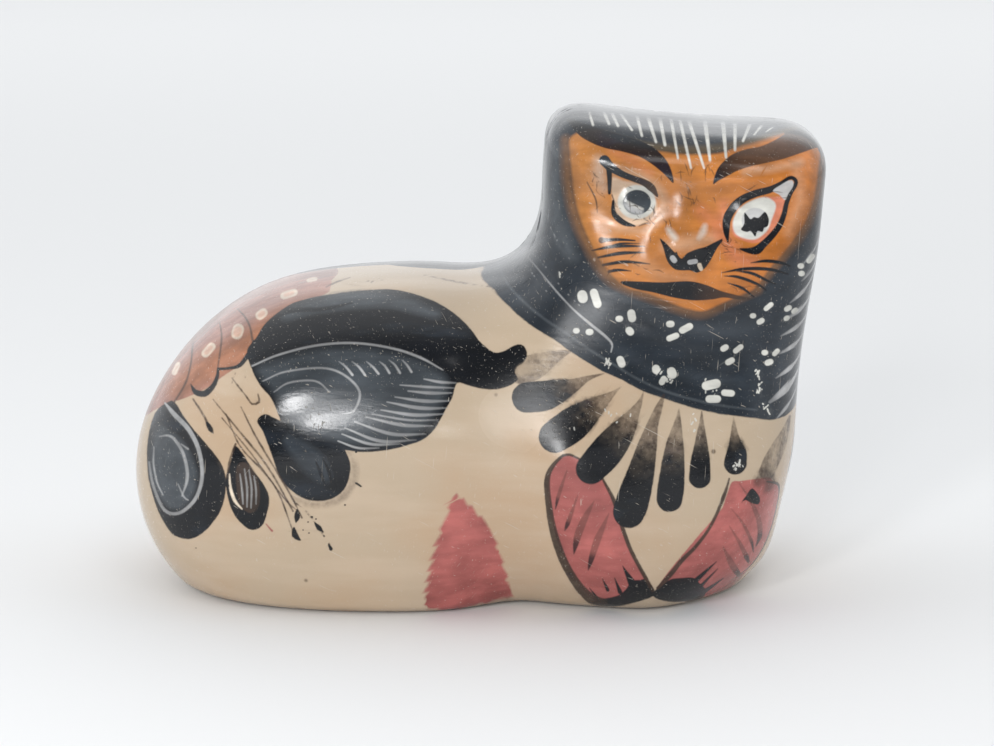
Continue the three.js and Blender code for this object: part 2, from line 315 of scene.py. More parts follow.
class View:
    """A camera round the cat, which turns surface points into picture points and back."""

    def __init__(self, azimuth, elevation):
        a, e = math.radians(azimuth), math.radians(elevation)
        self.back = np.array([math.sin(a) * math.cos(e), -math.cos(a) * math.cos(e), math.sin(e)])
        self.right = np.array([math.cos(a), math.sin(a), 0.0])
        self.up = np.cross(self.back, self.right)
        self.eye = CAMERA_TARGET + self.back * CAMERA_DISTANCE
        self.focal = CAMERA_DISTANCE / MM_PER_PIXEL

    def flat(self, points):
        """Picture points of surface points."""
        arm = points - self.eye
        depth = -(arm @ self.back)
        across = arm @ self.right / depth * self.focal + PHOTO_WIDE / 2
        down = PHOTO_HIGH / 2 - arm @ self.up / depth * self.focal
        return np.stack([across, down], -1)

    def solid(self, pixels):
        """Surface points under picture points."""
        across = (pixels[:, 0:1] - PHOTO_WIDE / 2) * self.right
        down = (PHOTO_HIGH / 2 - pixels[:, 1:2]) * self.up
        ways = unit((across + down) / self.focal - self.back)
        start = CAMERA_DISTANCE - LENGTH
        return first_hit(self.eye + ways * start, ways, 2 * LENGTH)

    def faces(self, points, normals):
        """How squarely the surface faces this view, from -1 to 1."""
        return (normals * unit(self.eye - points)).sum(-1)


FRONT = View(0, CAMERA_ELEVATION)
BEHIND = View(180, CAMERA_ELEVATION)
LEFT, RIGHT, BACK = View(-90, 0), View(90, 0), View(180, 0)
TOP, SOLE = View(0, 90), View(0, -90)
# How squarely a view sees the clay where its paint starts, and how far its strokes fade in
GRAZING, FADE_IN = 0.02, 0.14
# The same start for strokes that another view carries on: in a level view and in the top view
OFF_CROWN, OFF_SIDES = 0.3, 0.4
# The same start for the features of the face and for its mask
FACE_SQUARE, MASK_SQUARE = 0.12, 0.24


# Lines and outlines in a picture


def smooth_path(points, closed=False, spacing=3.0):
    """A smooth curve through rows of values, the first two a place, with a row every spacing."""
    rows = np.array(points, float)
    if closed:
        rows = np.concatenate([rows[-1:], rows, rows[:2]])
    else:
        rows = np.concatenate([2 * rows[:1] - rows[1:2], rows, 2 * rows[-1:] - rows[-2:-1]])
    made = []
    for before, start, end, after in zip(rows, rows[1:], rows[2:], rows[3:]):
        pieces = max(1, round(math.dist(start[:2], end[:2]) / spacing))
        t = (np.arange(pieces) / pieces)[:, None]
        made.append(
            start
            + t * (end - before) / 2
            + t**2 * (before - 2.5 * start + 2 * end - after / 2)
            + t**3 * (1.5 * (start - end) + (after - before) / 2)
        )
    if not closed:
        made.append(rows[-2:-1])
    return np.concatenate(made)


def line_sides(line, closed):
    """The unit way along a line at each point, and the way to its left."""
    if closed:
        along = np.roll(line, -1, 0) - np.roll(line, 1, 0)
    else:
        along = np.gradient(line, axis=0)
    along = along / (np.linalg.norm(along, axis=1, keepdims=True) + 1e-9)
    return along, np.stack([-along[:, 1], along[:, 0]], 1)


def round_end(centre, along, radius):
    """Points round the end of a stroke."""
    if radius < 1.0:
        return [centre + along * radius]
    side = np.array([-along[1], along[0]])
    turns = np.linspace(-math.pi / 2, math.pi / 2, max(3, int(radius * 1.3)) + 2)[1:-1]
    return [centre + radius * (along * math.cos(t) - side * math.sin(t)) for t in turns]


def gap_to_line(points, line, widths, closed=False):
    """Distance of points to a line less its half-width there, and the share along the line."""
    starts, ends = line, np.roll(line, -1, 0)
    first, last = widths, np.roll(widths, -1)
    if not closed:
        starts, ends, first, last = starts[:-1], ends[:-1], first[:-1], last[:-1]
    run = ends - starts
    arm = points[:, None] - starts[None]
    t = np.clip((arm * run).sum(-1) / ((run**2).sum(-1) + 1e-9), 0, 1)
    gaps = np.linalg.norm(arm - t[..., None] * run, axis=-1) - (first + (last - first) * t)
    nearest = gaps.argmin(1)
    pick = np.arange(len(points)), nearest
    return gaps[pick], (nearest + t[pick]) / len(run)


def inside(points, line):
    """Which points lie inside a closed line."""
    ends = np.roll(line, -1, 0)
    x, y = points[:, 0:1], points[:, 1:2]
    crosses = (line[:, 1] > y) != (ends[:, 1] > y)
    rise = ends[:, 1] - line[:, 1]
    at = line[:, 0] + (y - line[:, 1]) / np.where(rise == 0, 1e-9, rise) * (ends[:, 0] - line[:, 0])
    return ((x < at) & crosses).sum(1) % 2 == 1


def tone_at(tones, share, palette):
    """Colour and strength at shares along a mark, from (share, slip, strength) rows."""
    tones = [(0, tones, 1.0)] if isinstance(tones, str) else tones
    marks = [tone[0] for tone in tones]
    values = [(*palette[tone[1]], tone[2]) for tone in tones]
    table = np.array(values, float)
    return np.stack([np.interp(share, marks, table[:, i]) for i in range(4)], -1)


class Mark:
    """One touch of the brush, as it looks in one view: a stroke with a width, or a filled patch."""

    def __init__(self, view, points, tones, soft=1.3, patch=False, run=None, spacing=3.0,
                 within=None, square=GRAZING):
        self.view, self.patch, self.soft, self.run, self.within = view, patch, soft, run, within
        self.square = square
        path = smooth_path(points, patch, spacing)
        self.line = path[:, :2]
        self.widths = np.maximum(path[:, 2], 0.1) if path.shape[1] > 2 else np.zeros(len(path))
        self.tones = tones

    def edge(self, grow):
        """The mark's outline, moved out by grow."""
        along, side = line_sides(self.line, self.patch)
        if self.patch:
            ends = np.roll(self.line, -1, 0)
            turn = np.sign((self.line[:, 0] * ends[:, 1] - self.line[:, 1] * ends[:, 0]).sum())
            return self.line - side * grow * turn
        wide = np.maximum(self.widths + grow, 0.25)[:, None]
        left, right = self.line + side * wide, self.line - side * wide
        far_end = round_end(self.line[-1], along[-1], wide[-1, 0])
        near_end = round_end(self.line[0], -along[0], wide[0, 0])
        return np.concatenate([left, far_end, right[::-1], near_end])

    def rings(self):
        """The mark's outer and inner outline as closed loops of surface points."""
        for grow in (self.soft / 2, -self.soft / 2):
            if grow > 0 or self.patch or self.widths.max() > self.soft * 0.6:
                yield self.view.solid(self.edge(grow))

    def on(self, cat, palette):
        """Which of the cat's points the mark touches, with its colour and cover there."""
        flat, facing = cat.seen_by(self.view)
        reach = self.widths.max() + self.soft
        low, high = self.line.min(0) - reach, self.line.max(0) + reach
        near = ((flat > low) & (flat < high)).all(1) & (facing > self.square)
        where = np.flatnonzero(near)
        if not len(where):
            return where, np.zeros((0, 4))
        points = flat[where]
        gap, share = gap_to_line(points, self.line, self.widths, self.patch)
        if self.patch:
            gap = np.where(inside(points, self.line), -gap, gap)
            share = np.zeros(len(gap))
            if self.run:
                start, end = np.array(self.run[0], float), np.array(self.run[1], float)
                run = end - start
                share = np.clip((points - start) @ run / (run @ run), 0, 1)
        toned = tone_at(self.tones, share, palette)
        toned[:, 3] *= np.clip(0.5 - gap / self.soft, 0, 1)
        if not self.patch:
            toned[:, 3] *= np.clip((facing[where] - self.square) / FADE_IN, 0, 1)
        if self.within:
            _, limits = self.within.on(cat, palette)
            toned[:, 3] *= limits[where, 3]
        return where, toned


# Points round a blanket's edge, and about how far the edge is from its heart in millimetres
BLANKET_POINTS, BLANKET_REACH = 480, 50


class Blanket:
    """A patch that lies round the clay, as wide from its pole as its edge in the front view."""

    def __init__(self, heart, pole, edge, tones, soft=0.4):
        self.heart, self.pole = np.array(heart, float), unit(np.array(pole, float))
        self.across = unit(np.cross([0.0, -1.0, 0.0], self.pole))
        self.ahead = np.cross(self.pole, self.across)
        self.tones, self.soft = tones, soft
        turns, spreads = self.compass(FRONT.solid(np.array(edge, float)))
        # The far side's edge mirrors the near side's
        turns = np.concatenate([turns, np.sign(turns) * math.pi - turns])
        order = np.argsort(turns)
        self.turns, self.spreads = turns[order], np.tile(spreads, 2)[order]

    def compass(self, points):
        """Turn about the pole and spread from it, in radians."""
        way = unit(points - self.heart)
        turn = np.arctan2(way @ self.across, way @ self.ahead)
        return turn, np.arccos(np.clip(way @ self.pole, -1, 1))

    def limit(self, turn):
        return np.interp(turn, self.turns, self.spreads, period=2 * math.pi)

    def rings(self):
        """The patch's edge as closed loops of surface points."""
        turn = np.linspace(-math.pi, math.pi, BLANKET_POINTS, endpoint=False)
        for grow in (-0.5, 0.5):
            spread = (self.limit(turn) + grow * self.soft / BLANKET_REACH)[:, None]
            level = np.cos(turn)[:, None] * self.ahead + np.sin(turn)[:, None] * self.across
            yield from_heart(self.heart, self.pole * np.cos(spread) + level * np.sin(spread))

    def on(self, cat, palette):
        turn, spread = self.compass(cat.points)
        reach = np.linalg.norm(cat.points - self.heart, axis=1)
        gap = (spread - self.limit(turn)) * reach
        toned = tone_at(self.tones, np.zeros(len(gap)), palette)
        toned[:, 3] *= np.clip(0.5 - gap / self.soft, 0, 1)
        return np.arange(len(gap)), toned


class Cat:
    """The surface's points and normals, and where each view sees them."""

    def __init__(self, points):
        self.points, self.normals = points, unit(form_slope(points))
        self.seen = {}

    def seen_by(self, view):
        if view not in self.seen:
            self.seen[view] = view.flat(self.points), view.faces(self.points, self.normals)
        return self.seen[view]

    def painted(self, layers, palette):
        """Colour times cover, and cover, at every point, each layer laid over the ones before."""
        paint = np.zeros((len(self.points), 4))
        for layer in layers:
            where, toned = layer.on(self, palette)
            toned[:, :3] *= toned[:, 3:]
            paint[where] = toned + paint[where] * (1 - toned[:, 3:])
        return paint


def triangle_grid(low, high, spacing):
    """Points of an even triangular grid in a box of a picture."""
    across = np.arange(low[0], high[0], spacing)
    down = np.arange(low[1], high[1], spacing * math.sqrt(3) / 2)
    grid = np.stack(np.meshgrid(across, down), -1)
    grid[1::2, :, 0] += spacing / 2
    return grid.reshape(-1, 2)


def even_points(spacings):
    """Surface points spread evenly over the clay, from the views that see each part best."""
    made = []
    for view, spacing in spacings.items():
        points = view.solid(triangle_grid(PICTURE_LOW, PICTURE_HIGH, spacing / MM_PER_PIXEL))
        points = points[np.abs(clay_form(points)) < SURFACE_SLACK]
        normals = unit(form_slope(points))
        best = np.max([other.faces(points, normals) for other in spacings], axis=0)
        keep = view.faces(points, normals) > best - 1e-9
        made.append(points[keep])
    return np.concatenate(made)


def far_from(points, others, gap):
    """Which points have none of the others within the gap."""
    tree = KDTree(len(others))
    for number, other in enumerate(others):
        tree.insert(other, number)
    tree.balance()
    return np.array([tree.find(point)[2] > gap for point in points])


def clay_skin(layers, spacings, fine_points):
    """Points and triangles of the clay, with edges that follow the painted outlines."""
    loops = [loop for layer in layers for loop in layer.rings()]
    outlines = np.concatenate(loops)
    even = np.concatenate([even_points(spacings), fine_points])
    even = even[far_from(even, outlines, RING_CLEARANCE)]
    angles = np.arange(RIM_POINTS) / RIM_POINTS * 2 * math.pi
    rim = np.stack([np.cos(angles), np.sin(angles)], 1) * CHART_RIM
    all_points, all_faces = [from_chart(rim, -1)], []
    made = RIM_POINTS
    for side in (-1, 1):
        flats, edges = [rim], []
        count = len(rim)
        for loop in loops:
            flat, kept = on_side(loop, side)
            numbers = np.cumsum(kept) - 1 + count
            joined = kept & np.roll(kept, -1)
            near = np.linalg.norm(np.roll(loop, -1, 0) - loop, axis=1) < LONGEST_STEP
            pairs = np.stack([numbers, np.roll(numbers, -1)], 1)[joined & near]
            edges += pairs.tolist()
            flats.append(flat[kept])
            count += kept.sum()
        flat, kept = on_side(even, side)
        flats.append(flat[kept])
        flat = np.concatenate(flats)
        corners, _, faces, sources, _, _ = delaunay_2d_cdt(
            [Vector(p) for p in flat], edges, [], 0, 1e-5, True
        )
        corners = np.array([tuple(corner) for corner in corners])
        rims = np.array([min(source, default=RIM_POINTS) for source in sources])
        new = rims >= RIM_POINTS
        numbers = np.where(new, np.cumsum(new) - 1 + made, rims)
        all_points.append(from_chart(corners[new], side))
        made += new.sum()
        faces = numbers[np.array(faces)]
        all_faces.append(faces if side < 0 else faces[:, ::-1])
    return np.concatenate(all_points), np.concatenate(all_faces)


# Slips and paints, as linear colours
SLIPS = {
    "buff": (0.465, 0.368, 0.265),
    "cream": (0.66, 0.56, 0.44),
    "white": (0.58, 0.575, 0.53),
    "black": (0.0042, 0.0052, 0.0076),
    "grey": (0.062, 0.072, 0.082),
    "brown": (0.045, 0.028, 0.020),
    "orange": (0.44, 0.178, 0.047),
    "amber": (0.46, 0.148, 0.026),
    "red": (0.36, 0.105, 0.095),
    "pink": (0.305, 0.158, 0.125),
    "rust": (0.295, 0.11, 0.041),
    "coral": (0.56, 0.185, 0.11),
    "umber": (0.19, 0.09, 0.035),
    "olive": (0.085, 0.062, 0.036),
    "slate": (0.032, 0.040, 0.050),
    "cowl": (0.017, 0.023, 0.031),
    "pale": (0.42, 0.42, 0.42),
}

# Washes: slip and strength from the start of a stroke to its end
WASH = [(0, "brown", 0.55), (0.35, "brown", 0.72), (0.55, "black", 0.93), (0.75, "black", 1.0)]
PALE_WASH = [(0, "brown", 0.5), (0.6, "brown", 0.45), (1, "brown", 0.6)]
SLASH = [(0, "brown", 0.4), (0.7, "brown", 0.5), (0.8, "black", 0.85), (1, "black", 0.9)]
INK = [(0, "brown", 0.9), (0.2, "black", 1.0), (1, "black", 1.0)]
THIN = [(0, "brown", 0.8), (1, "brown", 0.75)]
HAIR = [(0, "pale", 0.85), (0.6, "pale", 0.8), (1, "pale", 0.2)]
SPARE_HAIR = [(0, "pale", 0.3), (0.4, "white", 0.7), (1, "white", 0.8)]

# The mask and features of the face, in the photograph's pixels: across, down and half-width
MASK = [
    (571, 137), (570, 151), (572, 172), (575, 197), (581, 220), (590, 241), (599, 258),
    (611, 274), (626, 287), (640, 291), (655, 296), (674, 304), (689, 309), (703, 311),
    (716, 306), (729, 300), (743, 294), (756, 287), (770, 268), (781, 256), (794, 239),
    (806, 220), (814, 197), (817.5, 174), (820, 149), (815, 136), (803, 126), (787, 129),
    (762, 138), (739, 146), (720, 153), (690, 154), (660, 151), (640, 144), (610, 133), (590, 129),
]
MASK_SHADE_LEFT = [
    (566, 140, 3), (567, 172, 4), (571, 200, 4), (578, 224, 4), (588, 245, 4), (598, 262, 5),
    (612, 279, 5), (630, 290, 3), (655, 299, 3), (676, 308, 3), (703, 314, 2.5), (728, 303, 2),
    (758, 290, 2),
]
MASK_SHADE_RIGHT = [
    (758, 288, 1.5), (774, 268, 2), (787, 252, 2.5), (800, 236, 3), (811, 216, 3), (818, 192, 2.5),
    (822, 160, 2),
]
LEFT_BROW = [
    (567, 119), (586, 124), (598, 128), (615, 133), (636, 139.5), (651, 146), (663, 156),
    (670.5, 168), (673.5, 183), (664, 174), (653, 165), (640, 157), (622, 151.5), (605, 148),
    (590, 142), (578, 134),
]
RIGHT_BROW = [
    (713, 184), (717, 170), (724, 161), (733, 154), (747, 149), (760, 146.5), (773, 141),
    (787, 133), (796, 130), (808, 130), (817, 136), (820, 145.5), (812, 149), (798, 154),
    (783, 159), (766, 163), (750, 166.5), (737, 171), (727.5, 176), (718, 181),
]
LEFT_ALMOND = [
    (612, 178), (624, 181), (635.7, 183), (647, 188), (655, 198), (657, 208), (652, 218),
    (640, 225), (627, 223), (617, 214), (612.5, 200),
]
LEFT_WHITE, LEFT_WHITE_SIZE = (636.7, 202), (19, 17)
LEFT_IRIS, LEFT_IRIS_SIZE = (637, 202.3), (14, 12.5)
# Painted reflection on the left eyeball: a white highlight streak and a pale haze across the iris
LEFT_IRIS_HIGHLIGHT = [(625, 200, 0.8), (630, 203.5, 1.3), (637, 207, 1.4), (643, 209, 0.8)]
LEFT_IRIS_REFLECTION = [(625, 204, 2.5), (632, 209, 4), (640, 212, 3)]
LEFT_LIDS = {
    "upper": [
        (604.5, 160.5, 5.4), (610, 166.5, 4.6), (621, 173.5, 3.4), (631.8, 178, 3.1),
        (643.7, 182.4, 3.4), (651.6, 188, 3.8), (657.3, 196, 1.2)],
    "corner": [(609, 168, 3), (609.6, 181, 2.3), (609.4, 193, 1.6)],
    "lower": [
        (613.2, 201, 1.2), (613.4, 211.6, 2.3), (617.4, 218, 3), (625.3, 223.4, 2.6), (635, 226, 0.8)],
    "scribble": [(639, 226, 0.5), (645, 223.6, 0.8), (650.5, 223, 0.5)],
    "crease": [(587, 182, 0.5), (595.5, 199, 0.9), (597.4, 212.4, 0.4)],
}
RIGHT_ALMOND = [
    (733, 221), (739.6, 208.7), (750.3, 201.3), (763.5, 197.2), (774, 197), (785, 198),
    (781, 214), (776, 226), (766, 238), (755.2, 243), (742, 240), (733, 234),
]
RIGHT_WHITE = [
    (733, 221), (739.6, 208.7), (750.3, 201.3), (763.5, 197.2), (771.7, 199.7), (775.9, 206),
    (771.7, 219.5), (766.8, 231), (755.2, 239.3), (742, 237.6), (734.5, 232),
]
# The right iris shows pale round the ragged pupil: its own grey at the top, and a painted highlight
# where it cuts into the pupil
RIGHT_IRIS, RIGHT_IRIS_SIZE = (755.2, 220.5), (13.6, 12.6)
RIGHT_PUPIL = [
    (744.5, 212.5), (750.3, 219), (754, 217), (758.5, 217.8), (765, 212), (768.8, 219), (767.8, 226),
    (764, 228), (762.5, 232), (757.5, 231), (755.2, 236.5), (750.8, 231), (747, 232), (741, 229.5),
    (744.2, 223.5),
]
RIGHT_LID = [
    (728, 242, 0.8), (726.4, 231, 3.2), (727, 219.5, 4.2), (732.5, 208.5, 4.4), (742, 199.6, 4),
    (755.2, 193.6, 3.7), (770, 189.6, 3.4), (780.8, 183.6, 2.2), (786.6, 179.4, 1.8),
    (791.5, 177.6, 1.9), (795.8, 180.7, 2), (795, 186, 2), (790.7, 193, 2.1), (786.6, 203, 2.4),
    (784, 214.5, 2.6), (779.2, 226, 3), (771.7, 236, 3.3), (763.5, 244.2, 3.6), (757, 250, 4.4),
    (749, 250.6, 2.8), (740.4, 249, 1),
]
# Painted reflection: a pale wedge over the black at the right eye's outer corner
RIGHT_CORNER_REFLECTION = [
    (773, 190.6), (781.6, 184.4), (789, 180.4), (793, 181), (793, 186.5), (788.2, 193.9),
    (785, 200), (779.2, 194.7),
]
NOSE = [
    (659.9, 238.4), (666.3, 243.4), (675, 252.5), (676.8, 251.4), (678, 255), (681.7, 258.6),
    (687.2, 253.2), (697.2, 249), (705.4, 246.8), (714.5, 242.3), (722.6, 238.6), (722.6, 241),
    (718, 246.8), (714.5, 253), (710, 261.4), (704.5, 268.6), (697.2, 272.7), (690, 270.5),
    (682.6, 270.5), (675.4, 269.5), (670, 265), (666.3, 258.6), (663.5, 248.6), (661.3, 242.7),
]
MOUTH = [
    (621.3, 281.3), (635.7, 281.3), (662.4, 282.3), (689.2, 281.3), (706.4, 285), (723.7, 291.8),
    (750.4, 298.5), (739, 299.5), (723.7, 297.6), (712, 299.5), (693, 300.4), (674, 297.6),
    (654.8, 292.8), (635.7, 289), (622.3, 284.2),
]
WHISKERS = [
    [(601.5, 240.2, 3.2), (607, 240, 1.9), (620, 239.6, 1.5), (635, 240.6, 0.7)],
    [(592, 250.5, 0.7), (612, 246.6, 1.7), (628, 246, 1.4), (645, 246.4, 0.4)],
    [(598, 257.5, 1.0), (618, 253.6, 1.8), (632, 252.6, 1.4), (645, 252.6, 0.4)],
    [(603, 265, 1.4), (622, 262, 1.7), (636, 262.4, 1.2), (650, 264, 0.4)],
    [(609, 271.5, 1.6), (619, 270, 1.4), (631, 271, 0.4)],
    [(609, 246, 0.4), (622, 243.4, 1.0), (640, 243.6, 0.3)],
    [(751, 262.8, 0.5), (766, 261, 1.6), (780, 262.6, 1.6), (790, 266, 0.8)],
    [(721.7, 272.7, 0.5), (745, 268.8, 1.6), (769.6, 269.4, 1.7), (788, 274, 0.8)],
    [(736, 271, 0.4), (752, 273.4, 1.6), (768, 281, 1.2), (776, 284, 0.6)],
    [(724, 276, 0.4), (738, 277, 1.5), (756, 283.5, 1.4), (766, 290, 0.8)],
    [(728, 283, 0.5), (742, 288, 1.4), (754, 297, 0.6)],
]
# Painted highlights on the nose: pale shines on the black nose, a cream glint below them, and white
# glints on the bridge
NOSE_SHINES = [
    [(672.5, 258, 2.8), (674.4, 260.4, 2.8)],
    [(689.6, 262.3, 2.4), (695.6, 261.3, 2.4)],
]
NOSE_LOW_GLINT = [(699.4, 265, 2.2), (701, 269, 2)]
NOSE_GLINTS = [
    [(668, 229, 2), (671, 233, 3.2), (675, 238, 3)], [(705, 226, 2), (703, 232, 3), (699, 238, 1.5)],
]
# Fine cracks and scratches in the face: centre, half-width, half-height, tilt and how many
CRACKLED = [
    (635, 203, 28, 26, 60, 16), (655, 222, 14, 14, 70, 14), (700, 175, 34, 14, 95, 22),
    (690, 205, 22, 16, 80, 16), (735, 250, 20, 16, 20, 14), (598, 190, 8, 26, 80, 12),
    (770, 190, 30, 12, 0, 10), (640, 265, 34, 14, 10, 14), (745, 285, 24, 10, 20, 10),
]
# Soft blushes of colour on the face, with painted shade along the mask's top edge and a painted
# highlight on the left cheek: path, slip, strength and softness
FACE_TINTS_AND_PAINTED_LIGHT = [
    ([(594, 160, 5), (598, 195, 6), (611, 236, 5)], "cream", 0.1, 12),
    ([(612, 170, 3), (640, 176, 3), (660, 192, 4), (662, 214, 4), (645, 230, 3), (620, 228, 3)],
     "cream", 0.32, 9),
    ([(666, 246, 5), (688, 243, 7), (712, 238, 5)], "cream", 0.25, 10),
    ([(640, 262, 6), (664, 276, 5), (690, 279, 4)], "cream", 0.1, 10),
    ([(724, 205, 4), (724, 232, 6), (736, 256, 7), (752, 262, 5)], "coral", 0.55, 12),
    ([(700, 210, 5), (712, 222, 6), (716, 236, 4)], "coral", 0.45, 12),
    ([(612, 150, 4), (630, 160, 4), (650, 172, 3)], "coral", 0.35, 9),
    ([(745, 172, 3), (775, 168, 3), (800, 162, 3)], "cream", 0.3, 8),
    ([(690, 165, 9), (690, 195, 8), (682, 222, 6)], "umber", 0.26, 18),
    ([(572, 150, 3), (577, 200, 3), (594, 248, 3), (630, 286, 2), (690, 306, 2)], "umber", 0.4, 9),
    ([(816, 150, 2), (812, 200, 3), (790, 244, 3), (758, 286, 2)], "umber", 0.4, 8),
    ([(796, 170, 4), (800, 200, 5), (788, 232, 4)], "cream", 0.18, 10),
    # A dark olive band along the mask's top edge: partly the hair band's colour, partly painted shade
    ([(604, 133, 2), (640, 144, 3), (690, 150, 4), (740, 144, 3), (798, 127, 2)], "olive", 1, 5),
    # Painted highlight: a soft white haze on the left cheek
    ([(599, 160, 4), (600, 176, 5), (604, 188, 3)], "white", 0.35, 10),
]
FACE_FRECKLES = [
    [(612, 195, 0.7), (616, 206, 0.4)], [(668, 205, 0.5), (664, 214, 0.4)],
    [(700, 178, 0.4), (703, 186, 0.5)], [(722, 186, 0.4), (719, 196, 0.6)],
    [(647, 232, 0.5), (655, 236, 0.5)], [(735, 262, 0.4), (741, 258, 0.5)],
]

# The black cowl: its lower edge, painted reflections, hair strokes, dots and worn places in the
# photograph
COWL_HEART, COWL_POLE = (50, -1, 62), (0, 0, 1)
COWL_EDGE = [
    (484, 267), (494, 289), (511, 308), (536, 329), (555, 340), (580, 358), (604, 372), (622, 380),
    (643, 391.5), (668, 400), (693, 408), (720, 414), (754, 418), (771, 420), (785, 416),
]
COLLAR_LINE = [
    (497, 262, 0.5), (507, 283, 1.1), (524, 302, 1.2), (546, 320, 1.2), (566, 333, 1.2),
    (590, 350, 1.2), (613, 364, 1.2), (636, 378, 1.2), (662, 390, 1.2), (695, 400, 1.2),
    (725, 406, 1.1), (757, 410, 0.6),
]
# Painted reflections: lighter sheens on the black cowl
COWL_SHEENS = [
    [(486, 268, 3), (500, 286, 4), (520, 302, 3)],
    [(600, 275, 3), (630, 300, 5), (670, 322, 5), (720, 332, 5), (765, 322, 4)],
    [(600, 340, 3), (640, 362, 4), (690, 376, 4), (740, 384, 3)],
    [(808, 240, 4), (800, 280, 5), (786, 330, 5), (780, 380, 4)],
]
# Painted reflection down the left side of the neck
NECK_SHEEN = [(557, 150, 4), (555, 190, 8), (558, 225, 8), (572, 256, 5)]
# Pale lines down the neck and collar: a painted highlight along the crease, partly worn scuffs
COLLAR_HIGHLIGHT_SCUFFS = [
    [(521, 249, 0.3), (538, 269, 0.6), (557, 292, 0.8), (574, 310, 0.9), (591.5, 325, 1.3),
     (605, 336, 1.3), (612, 344, 0.9), (611, 352, 0.5)],
    [(530, 250, 0.2), (545, 266, 0.4), (563, 289, 0.4), (580, 306, 0.3)],
    [(516, 252, 0.2), (531, 272, 0.4), (549, 294, 0.4), (560, 304, 0.3)],
    [(548, 200, 0.2), (549, 222, 0.4), (558, 242, 0.4), (572, 262, 0.3)],
]
HAIR_TOP = [
    [(589, 111, 1.4), (593, 125, 1.2)], [(604, 112, 2.0), (609, 124, 1.4)],
    [(612, 113, 2.0), (618, 126, 1.4)], [(621, 114, 2.0), (632, 130, 1.2)],
    [(637, 116, 1.8), (642, 136, 1.2)], [(648, 117, 2.2), (656, 142, 1.2)],
    [(660, 118, 2.0), (665, 145, 1.4)], [(671, 119, 1.8), (678, 158, 1.0)],
    [(680, 120, 1.8), (691, 168, 1.0)], [(689, 121, 2.0), (704, 168, 1.0)],
    [(705, 121, 2.4), (710, 160, 1.2)], [(723, 122, 2.4), (726, 157, 1.2)],
    [(735, 123, 2.0), (735, 150, 1.2)], [(750, 124, 2.0), (743, 141, 1.2)],
    [(762, 125, 1.8), (754, 135, 1.0)], [(773, 127, 1.4), (766, 132, 0.8)],
]
HAIR_SIDE = [
    [(822, 236, 1.6), (813, 252, 1.6), (803, 264, 0.5)],
    [(821, 256, 2.2), (812, 269, 2), (802, 281, 0.5)],
    [(818, 274, 2.4), (806, 289, 2.2), (790, 303, 0.5)],
    [(815, 293, 2.6), (802, 308, 2.4), (785, 320, 0.5)],
    [(812, 312, 2.6), (798, 326, 2.2), (781, 336, 0.5)],
    [(809, 329, 2.8), (797, 343, 2.6), (779, 354, 0.5)],
    [(807, 350, 3.2), (795, 364, 2.8), (776, 378, 0.5)],
    [(804, 370, 4.2), (789, 386, 4), (770, 402, 1.5)],
    [(796, 396, 2.2), (786, 408, 1.8), (777, 418, 0.5)],
]
# How far the side strokes run on behind their middles, and the half-width of their tips
SWEEP, SWEEP_TIP = 45, 0.5
DOTS = [
    (582.5, 296.7, 1.5, 5, 80), (595.7, 298.4, 6, 4, 72), (619.3, 318.8, 0.8, 3.1, 0),
    (631.7, 315.8, 2.5, 4, 80), (629.8, 331.2, 1, 3.7, 50), (670.3, 324, 1, 3.3, 0),
    (686, 328.3, 4.2, 3.4, -28), (672.8, 337, 3.8, 3, -22), (724.5, 348, 1.5, 3, -30),
    (738.2, 348.9, 3.4, 2.6, -38), (730, 361.3, 2.2, 3, -28), (764.8, 352.6, 0.6, 2.8, 0),
    (776, 352.4, 2.2, 2.4, -45), (769, 362.3, 1.6, 3, -20), (753, 315.8, 0.6, 2.6, 0),
    (768.6, 306.6, 3.4, 2.4, -40), (760.6, 321.3, 1.6, 2.7, -30), (788, 308.4, 1.6, 2.6, -30),
    (794.7, 310.8, 1.4, 2.4, -40), (786.7, 318.3, 0.8, 2.5, -30), (800.9, 266, 0.5, 2.8, 0),
    (810.8, 258.6, 3, 2.6, -50), (801.6, 273.5, 0.6, 2.8, 0), (711.3, 384.7, 5, 4.6, -12),
    (728, 393, 3.6, 3.3, 5), (713.3, 399, 4, 3.8, 0), (656, 369.3, 0.8, 3.8, 90),
    (672, 373, 1.5, 4.4, 70), (662.8, 380.5, 2, 3, -60), (576.3, 330.7, 0.6, 2.8, 0),
    (589.5, 332, 0.8, 3.2, 0), (621, 361.8, 2.2, 3.8, 68), (594.4, 259.6, 0.6, 1.3, 90),
]
# Flaked places: centre, half-width, half-height and how many flakes
FLAKED = [
    (559.5, 273, 2, 4, 5), (608, 362, 3, 8, 10), (657, 371, 4, 5, 10), (668, 379, 6, 7, 16),
    (758, 372, 2, 8, 9), (759, 390, 3, 9, 14), (766, 408, 5, 6, 8), (712, 390, 12, 8, 8),
    (576, 330, 3, 4, 6), (694, 424, 3, 10, 6), (618, 415, 14, 9, 8),
    (575, 422, 8, 9, 5), (737, 466, 10, 7, 12),
]
FLAKE_SEED, CRACK_SEED = 7, 11

